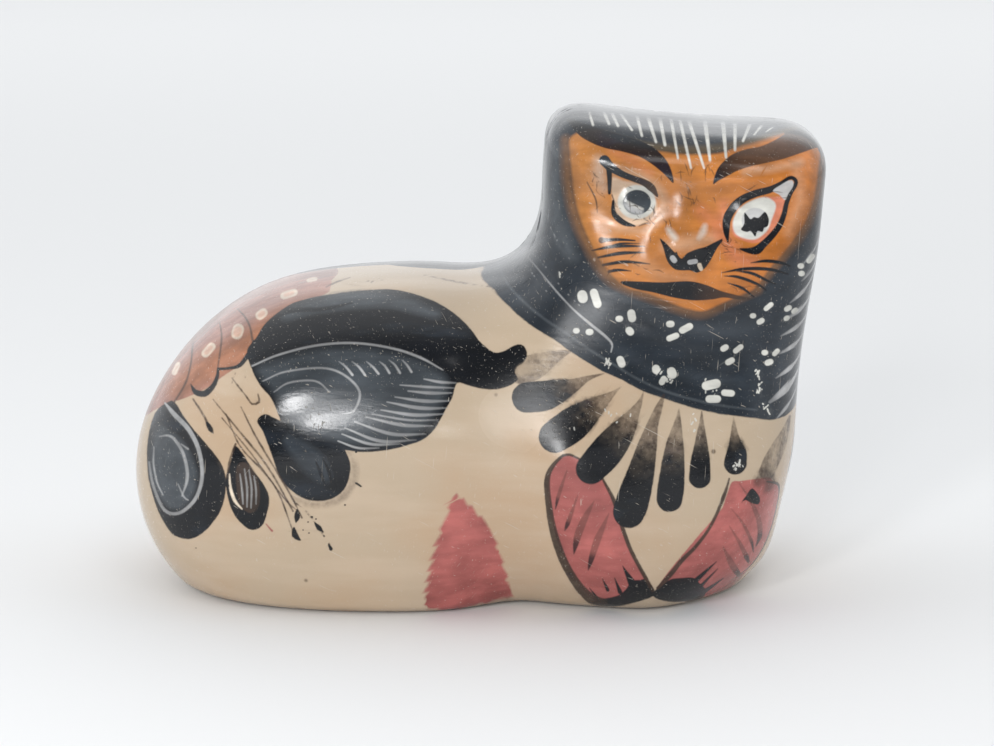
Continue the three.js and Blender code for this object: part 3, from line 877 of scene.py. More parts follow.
# The fringe of drops below the cowl
DROPS = [
    [(572, 351, 0.5), (562, 354, 4), (548, 360, 9), (534, 367, 13), (521, 371, 13)],
    [(604, 373.6, 0.4), (589, 378, 2.5), (572, 386, 7.5), (556, 392, 13), (543, 396, 15.3),
     (527, 397.5, 15.3)],
    [(621, 387, 0.4), (612, 394, 3), (603, 401, 7), (591, 410, 12), (577, 421, 16.5),
     (565, 430, 17.3), (555, 436.5, 16.3)],
    [(643.5, 392, 0.4), (640, 402, 2.5), (634, 413, 6), (626, 426, 11), (615, 441, 15.5),
     (603, 456, 16.5), (591, 469, 15.2)],
    [(664, 395, 1.2), (658, 410, 4), (652.5, 425, 5.8), (647, 447, 10), (640.5, 474, 13.7),
     (633, 500, 16.5), (629, 512, 16)],
    [(679, 409, 0.5), (678, 420, 3), (675.5, 439, 7.7), (673.5, 460, 11.2), (671, 487, 13.3),
     (669.5, 499, 13)],
    [(701.7, 411.5, 0.5), (701.6, 422, 2.2), (701.3, 433.6, 4.6), (700.5, 460.4, 9.6),
     (699.8, 477.5, 11)],
    [(733.5, 417.5, 0.5), (734, 427, 2.4), (735, 440, 5.5), (736.5, 452, 10), (735.4, 463, 11.6)],
]
DROP_TONES = [PALE_WASH] + [WASH] * 7
SIDE_DROP = [(790, 416, 1), (785, 432, 4), (778, 448, 7), (771, 462, 8), (767, 472, 8)]

# The paws
LEFT_PAW = [
    (563, 456), (571, 455), (581, 459), (596, 470), (606, 484), (614, 501), (624, 532), (632, 552),
    (642, 571), (654, 592), (640, 600), (620, 605), (600, 603), (586, 593), (572, 573), (562, 553),
    (554, 530), (549, 503), (548, 482), (552, 468),
]
LEFT_PAW_LINES = [
    [(563, 455.5, 1.2), (555, 463, 2), (548.6, 473.3, 2.6), (547, 486, 3), (548.6, 503, 3.2),
     (551, 520.4, 3.6), (555, 537.6, 4), (561.8, 557, 4.2), (569.8, 573, 4.2), (580, 588, 4.6),
     (591.7, 599, 5), (604, 603, 4)],
    [(563, 455.5, 1.2), (570, 454.6, 1.4), (579, 459, 1)],
    [(601, 476, 1), (607, 487, 1.5), (613.5, 499.7, 2), (619, 517, 2), (623.8, 531.8, 2),
     (630.7, 550, 2), (641, 569.7, 2), (652.5, 590.4, 2)],
]
LEFT_TOES = [
    (600, 600), (608, 598), (619, 595), (627, 588), (630.7, 581), (640, 580), (646, 580),
    (655, 594), (641, 600.7), (620, 606), (604, 606), (592, 603),
]
RIGHT_PAW = [
    (732, 482), (740, 481), (756, 479), (770, 478), (776, 490), (776.5, 503), (775, 516),
    (769, 535), (759, 554), (745, 573), (729, 589), (712, 597), (695, 601), (672, 600),
    (656, 592), (666, 575), (681, 556.5), (696, 538.6), (711.4, 520.8), (722, 508), (727, 494),
]
RIGHT_PAW_LINE = [
    (729.3, 478.7, 0.8), (727, 487, 1.4), (724.2, 495.3, 1.8), (716.5, 514.4, 1.6),
    (707.6, 531, 1.6), (694.8, 547.6, 1.8), (682, 560.3, 2.2), (670.6, 574.3, 2.4), (658, 588, 1.8),
]
# The same paw and the drops beside it, in the right view's picture
PAW_SIDE = [
    (316, 455), (345, 458), (366, 470), (380, 492), (384, 520), (378, 548), (366, 568), (330, 572),
    (316, 520),
]
PAW_SIDE_LINE = [
    (338, 456, 1), (367, 469, 1.6), (382, 492, 2), (386, 520, 2.4), (379, 550, 2.2), (366, 569, 1.5),
]
SIDE_FRINGE, SIDE_FRINGE_TOP = (405, 455, 505, 555, 605), 402
SIDE_DROP_STEPS = ((0, 0, 0.5), (1, 20, 3), (2, 40, 8), (2, 54, 10))
RIGHT_TOES = [
    (661, 586), (670.6, 579.4), (682, 578), (693.6, 578), (701, 585), (706, 590), (701, 598.6),
    (680, 602), (660, 600), (652, 594),
]
PAW_SLASHES = [
    [(567, 470.4, 0.5), (562, 485, 1.6), (557.6, 499, 1.8), (555.5, 509, 0.4)],
    [(577.9, 495, 0.5), (573, 509, 1.6), (567.6, 523.8, 2.3), (564.7, 530.5, 0.4)],
    [(594, 501.4, 0.5), (586, 516, 3), (579, 532, 3.8), (575.5, 545, 2.6), (573.9, 554, 0.4)],
    [(608.9, 513.5, 0.5), (603, 527, 2.4), (597, 541, 3.6), (591, 560, 2.6), (588.2, 570, 0.4)],
    [(731.8, 509.3, 0.4), (742, 522, 1.3), (751, 539.9, 1.8), (753.5, 552, 0.4)],
    [(729.3, 525.9, 0.4), (739.5, 542.4, 1.8), (747, 558, 2.4), (748.6, 563, 0.4)],
    [(722.9, 546.3, 0.4), (731.8, 564, 3.4), (739, 575, 2.4), (741, 578, 0.4)],
    [(739.5, 483.8, 0.4), (749.7, 499, 1.6), (758.6, 519.5, 2.6), (759.9, 535, 2.4), (756, 546, 0.4)],
]
TOE_SPIKES = [
    [(607.7, 590, 1.8), (602.6, 579, 0.3)], [(620, 592, 2.2), (614.6, 578, 0.3)],
    [(632, 583, 4), (627, 574, 2), (622.7, 566, 0.3)], [(598, 599, 1.5), (589.4, 588, 0.3)],
    [(690, 586, 3), (703, 574, 1.8), (716.5, 561.6, 0.3)], [(697, 590, 2), (717.8, 568.6, 0.3)],
    [(694, 597, 3), (708, 589, 1.8), (723.5, 578.2, 0.3)],
]
PAW_STAR = [
    (752.2, 488.2), (759.9, 497.8), (758.6, 504.2), (751, 502.9), (745.9, 500), (741.5, 502),
    (746, 496),
]
PAW_SMUDGE = [(758, 482, 5), (765, 476, 8), (770, 484, 6), (766, 490, 3)]

# The wing on the flank
WING = [
    (247, 351), (256, 338), (267, 321.7), (289, 305), (306, 299), (322, 295.5), (344, 292.3),
    (367, 290), (388, 289), (404, 291), (424, 297), (440, 304), (454, 313), (470, 328), (478, 339),
    (486, 347), (495.5, 352.5), (506, 350), (514, 345.5), (521, 344.5), (526, 349), (527, 356),
    (523, 363), (517, 367), (515, 373), (518, 379), (511, 385), (503, 388), (493, 389.5),
    (480, 388.5), (467, 385), (457, 383), (452, 398), (446, 409), (440, 420), (433, 431),
    (422, 440), (408, 445), (388, 450), (366, 452), (345, 450), (320, 444), (298, 438), (284, 428),
    (278, 414), (270.7, 398), (259.6, 384.6), (252, 369.8),
]
WING_PALE = [
    (258, 370), (282, 359), (315, 350), (352, 347), (389, 352), (419, 362), (444, 376), (446, 392),
    (434, 414), (418, 432), (392, 442), (350, 443), (310, 434), (290, 424), (280, 402), (268, 386),
]
# Painted reflection: a lighter sheen along the top of the black wing
WING_SHEEN = [(285, 316, 4), (320, 305, 7), (360, 300, 8), (400, 303, 7), (436, 314, 4)]
WING_SWEEPS = [
    [(262, 330, 0.8), (285, 312, 2.4), (322, 309, 2), (352, 303, 0.8)],
    [(318, 322, 0.8), (352, 314, 2), (392, 312, 2.4), (424, 322, 0.8)],
]
WING_ARCS = [
    [(252, 366, 0.8), (278, 355, 1), (315, 345.7, 1.1), (352, 343, 1.1), (389, 347.6, 1.1),
     (419, 357, 1.2), (443, 370, 0.5)],
    [(263, 381, 0.5), (285.6, 371.7, 0.9), (322.6, 368, 1), (344.8, 375.4, 1.1), (359.6, 392, 1.2),
     (354, 410.6, 1), (342, 414, 0.4)],
    [(274, 392, 0.4), (289, 382.8, 0.9), (315, 381, 0.9), (330, 392, 0.5)],
    [(288, 398, 0.4), (300, 391, 0.7), (314, 394, 0.5)],
]
WING_HATCHES = [
    [(339, 361.5, 0.4), (346, 367, 1), (352.5, 375, 1.1)],
    [(352, 361.5, 0.4), (359, 367, 1), (365, 375, 1.1)],
    [(366.5, 361.5, 0.4), (373, 367, 1), (378.5, 373.8, 1.1)],
    [(379.5, 361.5, 0.4), (385, 366, 1), (389.5, 373, 1.1)],
    [(389, 360, 0.4), (395, 365, 1), (400, 373, 1.1)],
    [(402, 360, 0.4), (407, 365, 1), (411.5, 372, 1.1)],
]
WING_BARBS = [
    [(424, 379, 0.5), (440, 382, 1.4), (456, 383, 0.6)],
    [(408, 391, 0.5), (430, 393, 1.6), (452, 393, 0.6)],
    [(395, 397, 0.5), (424, 401, 1.7), (449, 401, 0.6)],
    [(387, 402, 0.5), (420, 408, 1.8), (448, 408, 0.6)],
    [(381, 410, 0.5), (414, 415, 1.7), (444, 414, 0.6)],
    [(366, 417, 0.5), (402, 425, 1.7), (433, 426, 0.6)],
    [(355, 422, 0.5), (392, 434, 1.7), (426, 434, 0.6)],
    [(345, 428, 0.5), (380, 441, 1.6), (416, 440, 0.6)],
    [(342, 434, 0.5), (370, 444, 1.4), (399, 444, 0.6)],
    [(338, 441, 0.5), (358, 448, 1.1), (379, 448, 0.5)],
    [(400, 385, 0.4), (428, 387, 1.2), (454, 388, 0.5)],
    [(372, 414, 0.4), (408, 420, 1.1), (438, 420, 0.5)],
]
TAIL_PATCH = [(516, 369), (524, 363), (533, 364), (530, 372), (520, 376)]

# Petals, sprigs and the painted rump
LEFT_PETAL = [
    (168, 402), (175, 402.5), (187, 421), (201, 438), (214, 453), (223, 467), (226, 484), (222, 507),
    (210, 526), (197, 536.5), (185.5, 539), (172, 533.6), (160.6, 516), (151, 490), (147, 463),
    (148, 438), (155, 413),
]
PETAL_HEART = [
    (158, 424), (170, 430), (182, 441), (192, 458), (197, 477), (192, 496), (180, 509), (168, 507),
    (158, 492), (152, 474), (151, 450),
]
PETAL_RING = [
    (165, 403, 0.8), (174, 414, 2.2), (189, 430, 2.2), (199, 451, 2.0), (202, 477, 1.8),
    (195, 499.4, 1.7), (179, 513, 1.6), (164, 509.5, 1.5), (153, 485, 1.3), (149, 462, 0.9),
]
PETAL_ARCS = [
    [(159.6, 436.5, 0.5), (168, 435.5, 1.1), (175, 440, 1.4), (183.7, 455, 1.5), (187.4, 477, 1.5),
     (182, 496, 0.6)],
    [(154, 447, 0.4), (153.5, 463, 0.8), (157, 482, 0.8), (163, 495, 0.4)],
    [(178, 484, 0.4), (184, 497, 0.8), (188, 500, 0.5)], [(181, 444, 0.5), (188, 449, 0.9)],
]
SMALL_PETAL = [
    (234, 446), (241, 451), (252, 468.5), (262, 482), (269, 497), (267, 514), (262, 526), (253, 530),
    (243, 525), (233, 512.5), (227, 493), (226, 476), (231, 461),
]
SMALL_HEART = [(236, 470), (243, 462), (252, 468), (259, 484), (259, 505), (250, 513), (239, 502)]
SMALL_CRESCENT = [(229.5, 474, 0.5), (230.5, 488, 1.4), (235, 501, 1.5), (242, 509, 0.6)]
SMALL_STREAKS = [
    [(240, 474, 0.5), (242, 490, 1.0), (243, 504, 0.6)],
    [(244.5, 469, 0.5), (247, 488, 1.0), (247, 507, 0.6)],
    [(249, 470, 0.5), (251.5, 488, 1.0), (251, 508, 0.6)],
    [(254, 476, 0.5), (256, 490, 0.9), (256, 504, 0.5)],
]
LOWER_PETAL = [
    (257, 421), (263, 432), (269, 447), (278, 473), (285, 484), (293, 492), (304, 498.5),
    (315, 501), (327, 500), (337.4, 495.7), (345, 488), (349, 478), (350.4, 464), (346, 452),
    (340, 444), (320, 436), (295, 428), (275, 418), (264, 414),
]
LOWER_SMEAR = [
    (348, 450, 1.5), (354.5, 464, 3), (353, 480, 4), (345, 494, 4), (330, 503, 3), (308, 504, 2.4),
    (293, 497, 1.5),
]
# Painted reflection: a slate sheen inside the lower petal
LOWER_SHEEN = [(290, 440, 8), (312, 462, 12), (322, 476, 9)]
BRISTLES = [
    [(316, 462, 0.6), (321, 474, 1.6), (325, 486, 0.5)],
    [(323, 459, 0.6), (329, 472, 1.6), (332, 486, 0.5)],
    [(331, 458, 0.6), (336, 469, 1.5), (339, 480, 0.5)],
    [(337, 455, 0.6), (341, 464, 1.3), (344, 472, 0.5)],
]
SPRIGS = [
    [(193, 399, 0.8), (201, 411, 1.1), (208, 424, 1.2)],
    [(213, 399.4, 0.6), (237.4, 429, 1.0), (267, 466, 1.1), (293, 511, 0.8)],
    [(226, 414, 0.6), (240, 446, 0.8), (262, 470, 1.0), (278, 492, 0.9), (293, 531, 0.7)],
    [(241, 407, 0.6), (257.8, 440, 1.0), (289, 492, 1.0), (302, 518, 0.7)],
    [(222, 418, 0.5), (250, 452, 0.8), (284, 498, 0.7), (299, 512, 0.5)],
    [(232, 378, 0.5), (238, 386, 0.9), (246, 396, 0.8), (252, 404, 0.9), (259, 402, 1.2),
     (258, 394, 0.6)],
    [(236, 372, 0.4), (232, 384, 0.6), (240, 392, 0.5)], [(246, 372, 0.4), (243, 388, 0.7)],
    [(248, 380, 0.4), (255, 392, 0.6)], [(296, 503, 0.5), (310, 516, 0.7), (330, 545, 0.6)],
    [(235.6, 444, 1), (230, 460, 1.2), (227, 478, 1)],
]
BUDS = [
    [(207, 423, 1.4), (210.5, 429, 2.6), (213, 433, 0.6)],
    [(297, 510, 1.2), (297, 517, 3), (296, 522, 1)],
    [(294, 528, 1.2), (294.8, 535, 3.2), (300, 540, 1)],
    [(315, 523, 1), (319, 528, 2.6), (323, 532, 0.8)],
    [(329, 545, 1), (331, 549, 1.8)], [(356, 483, 0.8), (361, 486.5, 1)],
    [(226, 483, 1.8), (228, 486, 1.6)],
]
SPATTER = [
    (312, 517, 0.8), (308, 522, 0.7), (316, 519, 0.7), (309, 533, 0.6), (303, 530, 0.6),
    (324, 536, 0.7), (253, 529, 0.8), (196, 548, 0.6), (374, 447, 0.7), (356, 452, 0.9),
    (345, 505, 0.7),
]
RUMP_HEART, RUMP_POLE = (-42, 0, 42), (-0.65, 0, 0.76)
RUMP_EDGE = [
    (331, 280.5), (329, 292), (312, 300), (294.5, 306), (278, 314), (264, 328), (252, 344),
    (248.5, 353), (238, 366), (222, 377), (206.5, 388), (190, 396), (176, 401), (158, 408),
]
RUMP_GLOW = [
    (322, 293, 2), (293, 306, 5), (262, 330, 10), (238, 352, 14), (208, 368, 16), (176, 388, 12),
]
RUMP_BANDS = [
    [(198, 330, 0.5), (193, 342, 0.8), (191, 362.4, 0.9), (185.6, 382.8, 1), (173.7, 403, 0.9)],
    [(219, 319.8, 0.5), (221.5, 334, 0.9), (220.7, 347.6, 1), (218, 366, 0.8)],
    [(237.4, 308.7, 0.5), (245, 317, 0.9), (250, 327, 1), (252.5, 340, 1.2)],
    [(326, 287, 0.5), (338, 281.5, 0.8), (350, 277.5, 0.4)],
    [(424, 275, 0.4), (458, 282, 0.7), (491, 287, 0.4)],
]
RUMP_HOOK = [
    [(254, 342, 2), (250, 352, 2.4), (240, 365, 2), (230, 368, 1.4), (219, 369, 1.4)],
    [(218, 368, 1), (217.4, 376, 1.8), (213, 386, 2.4), (204.5, 393.6, 3.2), (195.5, 392, 2.6),
     (191, 384.6, 0.6)],
]
# Pale spots with a coral middle: place, half-length, half-width and tilt, and the rim's width
SPOT_RIM = 1.8
RUMP_SPOTS = [
    (261.5, 314, 2.2, 4.4, -40), (237.6, 331.5, 2.4, 5.6, -72), (208.5, 350, 4.6, 4, -48),
    (289, 294, 5.4, 3.6, -18), (176, 368.5, 4.4, 2.6, -68), (312, 279.5, 3.6, 2, -14),
]
BACK_TICKS = [
    [(366, 283, 0.6), (370, 279.5, 0.5)], [(371, 283, 0.6), (375, 279, 0.5)],
    [(376, 282, 0.6), (380, 278.4, 0.5)], [(381, 281.4, 0.6), (385, 278, 0.5)],
]
# This one is in the left view's picture
SMALL_OVAL = [(543, 468, 1.5), (541, 483, 7), (548, 500, 3)]
RED_TICK = [(266, 524, 0.5), (272, 531, 1)]
# The far wing lies higher and shows over the back. Its top is in the top view's picture
FAR_LIFT = 11
FAR_WING_TOP = [
    (376, 316), (390, 342), (414, 357), (440, 363), (466, 361), (486, 350), (499, 325), (492, 300),
    (440, 290), (395, 296),
]


def round_patch(centre, size):
    """The outline of a round spot."""
    turns = np.linspace(0, 2 * math.pi, 12, endpoint=False)
    return [(centre[0] + size[0] * math.cos(t), centre[1] + size[1] * math.sin(t)) for t in turns]


def dab(across, down, half_length, half_width, tilt):
    """A short straight touch of the brush."""
    run = half_length * math.cos(math.radians(tilt)), half_length * math.sin(math.radians(tilt))
    return [(across - run[0], down - run[1], half_width), (across + run[0], down + run[1], half_width)]


def face_marks():
    fine = {"spacing": 2.0, "soft": 1.1, "square": FACE_SQUARE}
    marks = [
        Mark(FRONT, MASK_SHADE_LEFT, [(0, "umber", 0.9)], soft=10),
        Mark(FRONT, MASK_SHADE_RIGHT, [(0, "umber", 0.9)], soft=9),
        Mark(FRONT, MASK, [(0, "orange", 1), (1, "amber", 1)], soft=3, patch=True,
             run=((600, 160), (800, 250)), square=MASK_SQUARE),
    ]
    # Blushes of colour, with painted shade along the mask's top and a painted highlight on the left
    # cheek
    marks += [
        Mark(FRONT, points, [(0, slip, strength)], soft=soft)
        for points, slip, strength, soft in FACE_TINTS_AND_PAINTED_LIGHT
    ]
    marks += [
        Mark(FRONT, LEFT_BROW, [(0, "black", 0.97)], patch=True, **fine),
        Mark(FRONT, RIGHT_BROW, [(0, "black", 1), (0.45, "brown", 0.85), (1, "black", 0.92)],
             patch=True, run=((715, 180), (815, 135)), **fine),
        Mark(FRONT, LEFT_ALMOND, [(0, "cream", 0.6)], patch=True, soft=3, spacing=2.0),
        Mark(FRONT, round_patch(LEFT_WHITE, LEFT_WHITE_SIZE), "white", patch=True, soft=2, spacing=2.0),
        Mark(FRONT, round_patch(LEFT_IRIS, LEFT_IRIS_SIZE), [(0, "slate", 1), (1, "grey", 1)],
             patch=True, run=((646, 194), (626, 214)), **fine),
        # Painted reflection on the left eye
        Mark(FRONT, LEFT_IRIS_REFLECTION, [(0, "pale", 0.9)], soft=4, spacing=2.0),
        Mark(FRONT, LEFT_IRIS_HIGHLIGHT, [(0, "white", 0.75)], soft=2, spacing=2.0),
        Mark(FRONT, RIGHT_ALMOND, [(0, "coral", 0.9)], patch=True, soft=2, spacing=2.0),
        Mark(FRONT, RIGHT_WHITE, "white", patch=True, soft=2, spacing=2.0),
        Mark(FRONT, round_patch(RIGHT_IRIS, RIGHT_IRIS_SIZE), [(0, "pale", 0.9)], patch=True, **fine),
        Mark(FRONT, RIGHT_PUPIL, "black", patch=True, soft=1, spacing=1.5),
        Mark(FRONT, RIGHT_LID, "black", **fine),
        # Painted reflection in the right eye's corner
        Mark(FRONT, RIGHT_CORNER_REFLECTION, [(0, "pale", 0.95)], patch=True, **fine),
        Mark(FRONT, NOSE, "black", patch=True, **fine),
        # Painted highlight on the nose
        Mark(FRONT, NOSE_LOW_GLINT, [(0, "cream", 0.8)], **fine),
        Mark(FRONT, MOUTH, [(0, "black", 1), (1, "brown", 0.9)], patch=True,
             run=((690, 290), (745, 297)), **fine),
    ]
    lid_tones = {"upper": [(0, "slate", 1), (0.45, "black", 1), (1, "brown", 0.95)]}
    marks += [
        Mark(FRONT, points, lid_tones.get(name, THIN if name in ("crease", "scribble") else "black"),
             **fine)
        for name, points in LEFT_LIDS.items()
    ]
    marks += [Mark(FRONT, points, SPARE_HAIR, square=OFF_CROWN) for points in HAIR_TOP]
    marks += [
        Mark(TOP, carried(points, FRONT, TOP), SPARE_HAIR, square=OFF_SIDES) for points in HAIR_TOP
    ]
    marks += [Mark(FRONT, points, INK, **fine) for points in WHISKERS]
    # Painted highlights on the nose and its bridge
    marks += [Mark(FRONT, points, [(0, "pale", 0.9)], **fine) for points in NOSE_SHINES]
    marks += [Mark(FRONT, points, [(0, "white", 0.7)], soft=5) for points in NOSE_GLINTS]
    marks += [Mark(FRONT, points, [(0, "brown", 0.7)], soft=0.9) for points in cracks()]
    marks += [Mark(FRONT, points, THIN, **fine) for points in FACE_FRECKLES]
    return marks


def flakes():
    """Where small flakes of paint have gone."""
    chance = random.Random(FLAKE_SEED)
    made = []
    for x, y, wide, high, count in FLAKED:
        for _ in range(count):
            at = x + chance.gauss(0, wide / 2), y + chance.gauss(0, high / 2)
            made.append(dab(*at, chance.uniform(0.2, 1.6), chance.uniform(0.3, 0.9),
                            chance.uniform(50, 140)))
    return made


def cracks():
    """Fine brown lines, each a little bent."""
    chance = random.Random(CRACK_SEED)
    made = []
    for x, y, wide, high, tilt, count in CRACKLED:
        for _ in range(count):
            at = x + chance.gauss(0, wide / 2), y + chance.gauss(0, high / 2)
            long = chance.uniform(2, 7)
            start, end = dab(*at, long, 0.1, chance.gauss(tilt, 30))
            bend = chance.gauss(0, 1.2), chance.gauss(0, 1.2)
            middle = (at[0] + bend[0], at[1] + bend[1], chance.uniform(0.3, 0.7))
            made.append([start, middle, end])
    return made


def cowl_marks():
    marks = [Blanket(COWL_HEART, COWL_POLE, COWL_EDGE, "cowl")]
    # Painted reflections on the cowl and the neck
    marks += [Mark(FRONT, points, [(0, "slate", 0.9)], soft=12) for points in COWL_SHEENS]
    marks.append(Mark(FRONT, NECK_SHEEN, [(0, "grey", 0.9)], soft=12))
    marks.append(Mark(FRONT, COLLAR_LINE, [(0, "grey", 0.9)], soft=2))
    marks += [Mark(FRONT, points, HAIR, square=OFF_CROWN) for points in HAIR_SIDE]
    marks += [Mark(RIGHT, swept_side(points), HAIR, square=OFF_CROWN) for points in HAIR_SIDE]
    marks += [Mark(FRONT, dab(*spot), "white", soft=1.1) for spot in DOTS]
    # Painted highlight along the collar's crease, partly scuffed
    crease = [(0, "pale", 0.25), (0.7, "pale", 0.8)]
    marks += [Mark(FRONT, points, crease) for points in COLLAR_HIGHLIGHT_SCUFFS]
    return marks


def paw_marks():
    marks = [
        Mark(FRONT, LEFT_PAW, "red", patch=True),
        Mark(FRONT, RIGHT_PAW, "red", patch=True),
        Mark(RIGHT, PAW_SIDE, "red", patch=True),
        Mark(FRONT, LEFT_TOES, "black", patch=True),
        Mark(FRONT, RIGHT_TOES, "black", patch=True),
        Mark(FRONT, PAW_SMUDGE, [(0, "brown", 0.6)], soft=5),
        Mark(FRONT, PAW_STAR, "black", patch=True, soft=1),
    ]
    marks += [Mark(FRONT, points, SLASH) for points in PAW_SLASHES]
    marks += [Mark(FRONT, points, "black") for points in TOE_SPIKES]
    edges = [(FRONT, points) for points in [*LEFT_PAW_LINES, RIGHT_PAW_LINE]]
    edges.append((RIGHT, PAW_SIDE_LINE))
    marks += [Mark(view, points, [(0, "brown", 0.95)]) for view, points in edges]
    return marks


def fringe_marks():
    marks = [Mark(FRONT, points, tones) for points, tones in zip(DROPS, DROP_TONES)]
    marks.append(Mark(FRONT, SIDE_DROP, PALE_WASH))
    for across in SIDE_FRINGE:
        path = [(across + lean, SIDE_FRINGE_TOP + down, wide) for lean, down, wide in SIDE_DROP_STEPS]
        marks.append(Mark(RIGHT, path, WASH))
    return marks


def wing_marks():
    marks = [
        Mark(FRONT, WING, "black", patch=True),
        # Painted reflection along the wing's top
        Mark(FRONT, WING_SHEEN, [(0, "grey", 0.75)], soft=8),
        *(Mark(FRONT, points, [(0, "black", 0.8)], soft=2) for points in WING_SWEEPS),
        Mark(FRONT, WING_PALE, [(0, "grey", 0.8)], patch=True, soft=10),
        Mark(FRONT, TAIL_PATCH, [(0, "buff", 0.5)], patch=True, soft=4),
    ]
    marks += [Mark(FRONT, points, [(0, "pale", 0.55)]) for points in WING_ARCS]
    marks += [Mark(FRONT, points, [(0, "pale", 0.4), (1, "pale", 0.95)]) for points in WING_HATCHES]
    marks += [Mark(FRONT, points, [(0, "pale", 0.8), (1, "pale", 0.35)]) for points in WING_BARBS]
    return marks


def rump_marks():
    blanket = Blanket(RUMP_HEART, RUMP_POLE, RUMP_EDGE, "pink")
    glow = [(0, "rust", 0.45), (0.4, "rust", 0.8), (1, "rust", 0.6)]
    marks = [
        blanket,
        Mark(FRONT, RUMP_GLOW, glow, soft=16, within=blanket),
        Mark(FRONT, LOWER_SMEAR, [(0, "brown", 0.28)], soft=5),
        Mark(FRONT, LEFT_PETAL, "black", patch=True),
        Mark(FRONT, PETAL_HEART, [(0, "grey", 0.8)], patch=True, soft=6),
        Mark(FRONT, PETAL_RING, [(0, "pale", 0.9), (0.5, "pale", 0.6), (1, "pale", 0.35)]),
        Mark(FRONT, SMALL_PETAL, "black", patch=True),
        Mark(FRONT, SMALL_HEART, [(0, "brown", 0.9)], patch=True, soft=2),
        Mark(FRONT, SMALL_CRESCENT, "cream"),
        Mark(FRONT, LOWER_PETAL, "black", patch=True),
        # Painted reflection in the lower petal
        Mark(FRONT, LOWER_SHEEN, [(0, "slate", 0.9)], soft=8),
        Mark(LEFT, SMALL_OVAL, [(0, "red", 0.8)]),
        Mark(FRONT, RED_TICK, "red"),
    ]
    marks += [Mark(FRONT, points, [(0, "pale", 0.6)]) for points in PETAL_ARCS + SMALL_STREAKS]
    marks += [Mark(FRONT, points, THIN) for points in RUMP_BANDS + SPRIGS + BACK_TICKS]
    marks += [Mark(FRONT, points, "black") for points in BUDS + RUMP_HOOK + BRISTLES]
    marks += [Mark(FRONT, dab(x, y, 0.3, size, 0), "black", soft=0.8) for x, y, size in SPATTER]
    marks += [Mark(FRONT, dab(*spot), [(0, "cream", 0.8)], soft=1.6) for spot in RUMP_SPOTS]
    marks += [
        Mark(FRONT, dab(x, y, long * 0.7, wide - SPOT_RIM, tilt), [(0, "coral", 0.4)], soft=2)
        for x, y, long, wide, tilt in RUMP_SPOTS
    ]
    return marks


def mirrored(points, lift=0):
    """A front stroke or outline, mirrored and lifted, as the view from behind shows it."""
    return [(PHOTO_WIDE - point[0], point[1] - lift, *point[2:]) for point in points]


def carried(points, start, end):
    """A stroke of one view's picture, drawn in another's."""
    rows = smooth_path(points, spacing=6.0)
    rows[:, :2] = end.flat(start.solid(rows[:, :2]))
    return rows


def swept_side(points):
    """A hair stroke carried into the right view, run on straight to a tip farther back."""
    rows = carried(points, FRONT, RIGHT)
    middle, end = rows[len(rows) // 2], rows[-1]
    way = (middle[:2] - end[:2]) / math.dist(middle[:2], end[:2])
    return [(*(middle[:2] + way * SWEEP), SWEEP_TIP), tuple(middle), tuple(end)]


def far_side_marks():
    """The side away from the camera: the same pattern, plainer."""
    marks = [
        Mark(BEHIND, mirrored(WING, FAR_LIFT), "black", patch=True),
        Mark(BEHIND, mirrored(WING_PALE, FAR_LIFT), [(0, "grey", 0.7)], patch=True, soft=12),
        Mark(TOP, FAR_WING_TOP, "black", patch=True, soft=2),
        Mark(BEHIND, mirrored(LEFT_PETAL), "black", patch=True),
        Mark(BEHIND, mirrored(PETAL_HEART), [(0, "grey", 0.8)], patch=True, soft=6),
        Mark(BEHIND, mirrored(PETAL_RING), [(0, "pale", 0.8), (1, "pale", 0.4)]),
        Mark(BEHIND, mirrored(LOWER_PETAL), "black", patch=True),
        Mark(BEHIND, mirrored(COLLAR_LINE), [(0, "grey", 0.75)], soft=1.6),
    ]
    pale = WING_ARCS[:2] + WING_HATCHES[::2] + WING_BARBS[1:8:2]
    marks += [Mark(BEHIND, mirrored(points, FAR_LIFT), [(0, "pale", 0.6)]) for points in pale]
    marks += [Mark(BEHIND, mirrored(points), WASH) for points in DROPS]
    for points in HAIR_TOP[::2]:
        far = mirrored(points)
        marks.append(Mark(BEHIND, far, SPARE_HAIR, square=OFF_CROWN))
        marks.append(Mark(TOP, carried(far, BEHIND, TOP), SPARE_HAIR, square=OFF_SIDES))
    marks += [Mark(BEHIND, mirrored(dab(*spot)), "white") for spot in DOTS if spot[1] > 290]
    marks += [Mark(BEHIND, mirrored(points), THIN) for points in SPRIGS[:3] + RUMP_BANDS[:3]]
    marks += [Mark(BEHIND, mirrored(points), "black") for points in BUDS[:3] + RUMP_HOOK]
    return marks


def all_layers():
    layers = rump_marks() + cowl_marks() + face_marks() + paw_marks() + fringe_marks()
    layers += wing_marks() + far_side_marks()
    return layers + [Mark(FRONT, points, [(0, "white", 0.85)], soft=0.8) for points in flakes()]


# Mesh, finish and stage

PAINT, HANDLED = "Paint", "Handled"
# Places dulled by handling: centre and radius in millimetres, and how much
DULL_PLACES = [
    ((52, -44, 100), 28, 1.2), ((85, -30, 100), 18, 0.8), ((9, -51, 55), 11, 3.5),
    ((27, -44, 80), 13, 2.5),
]
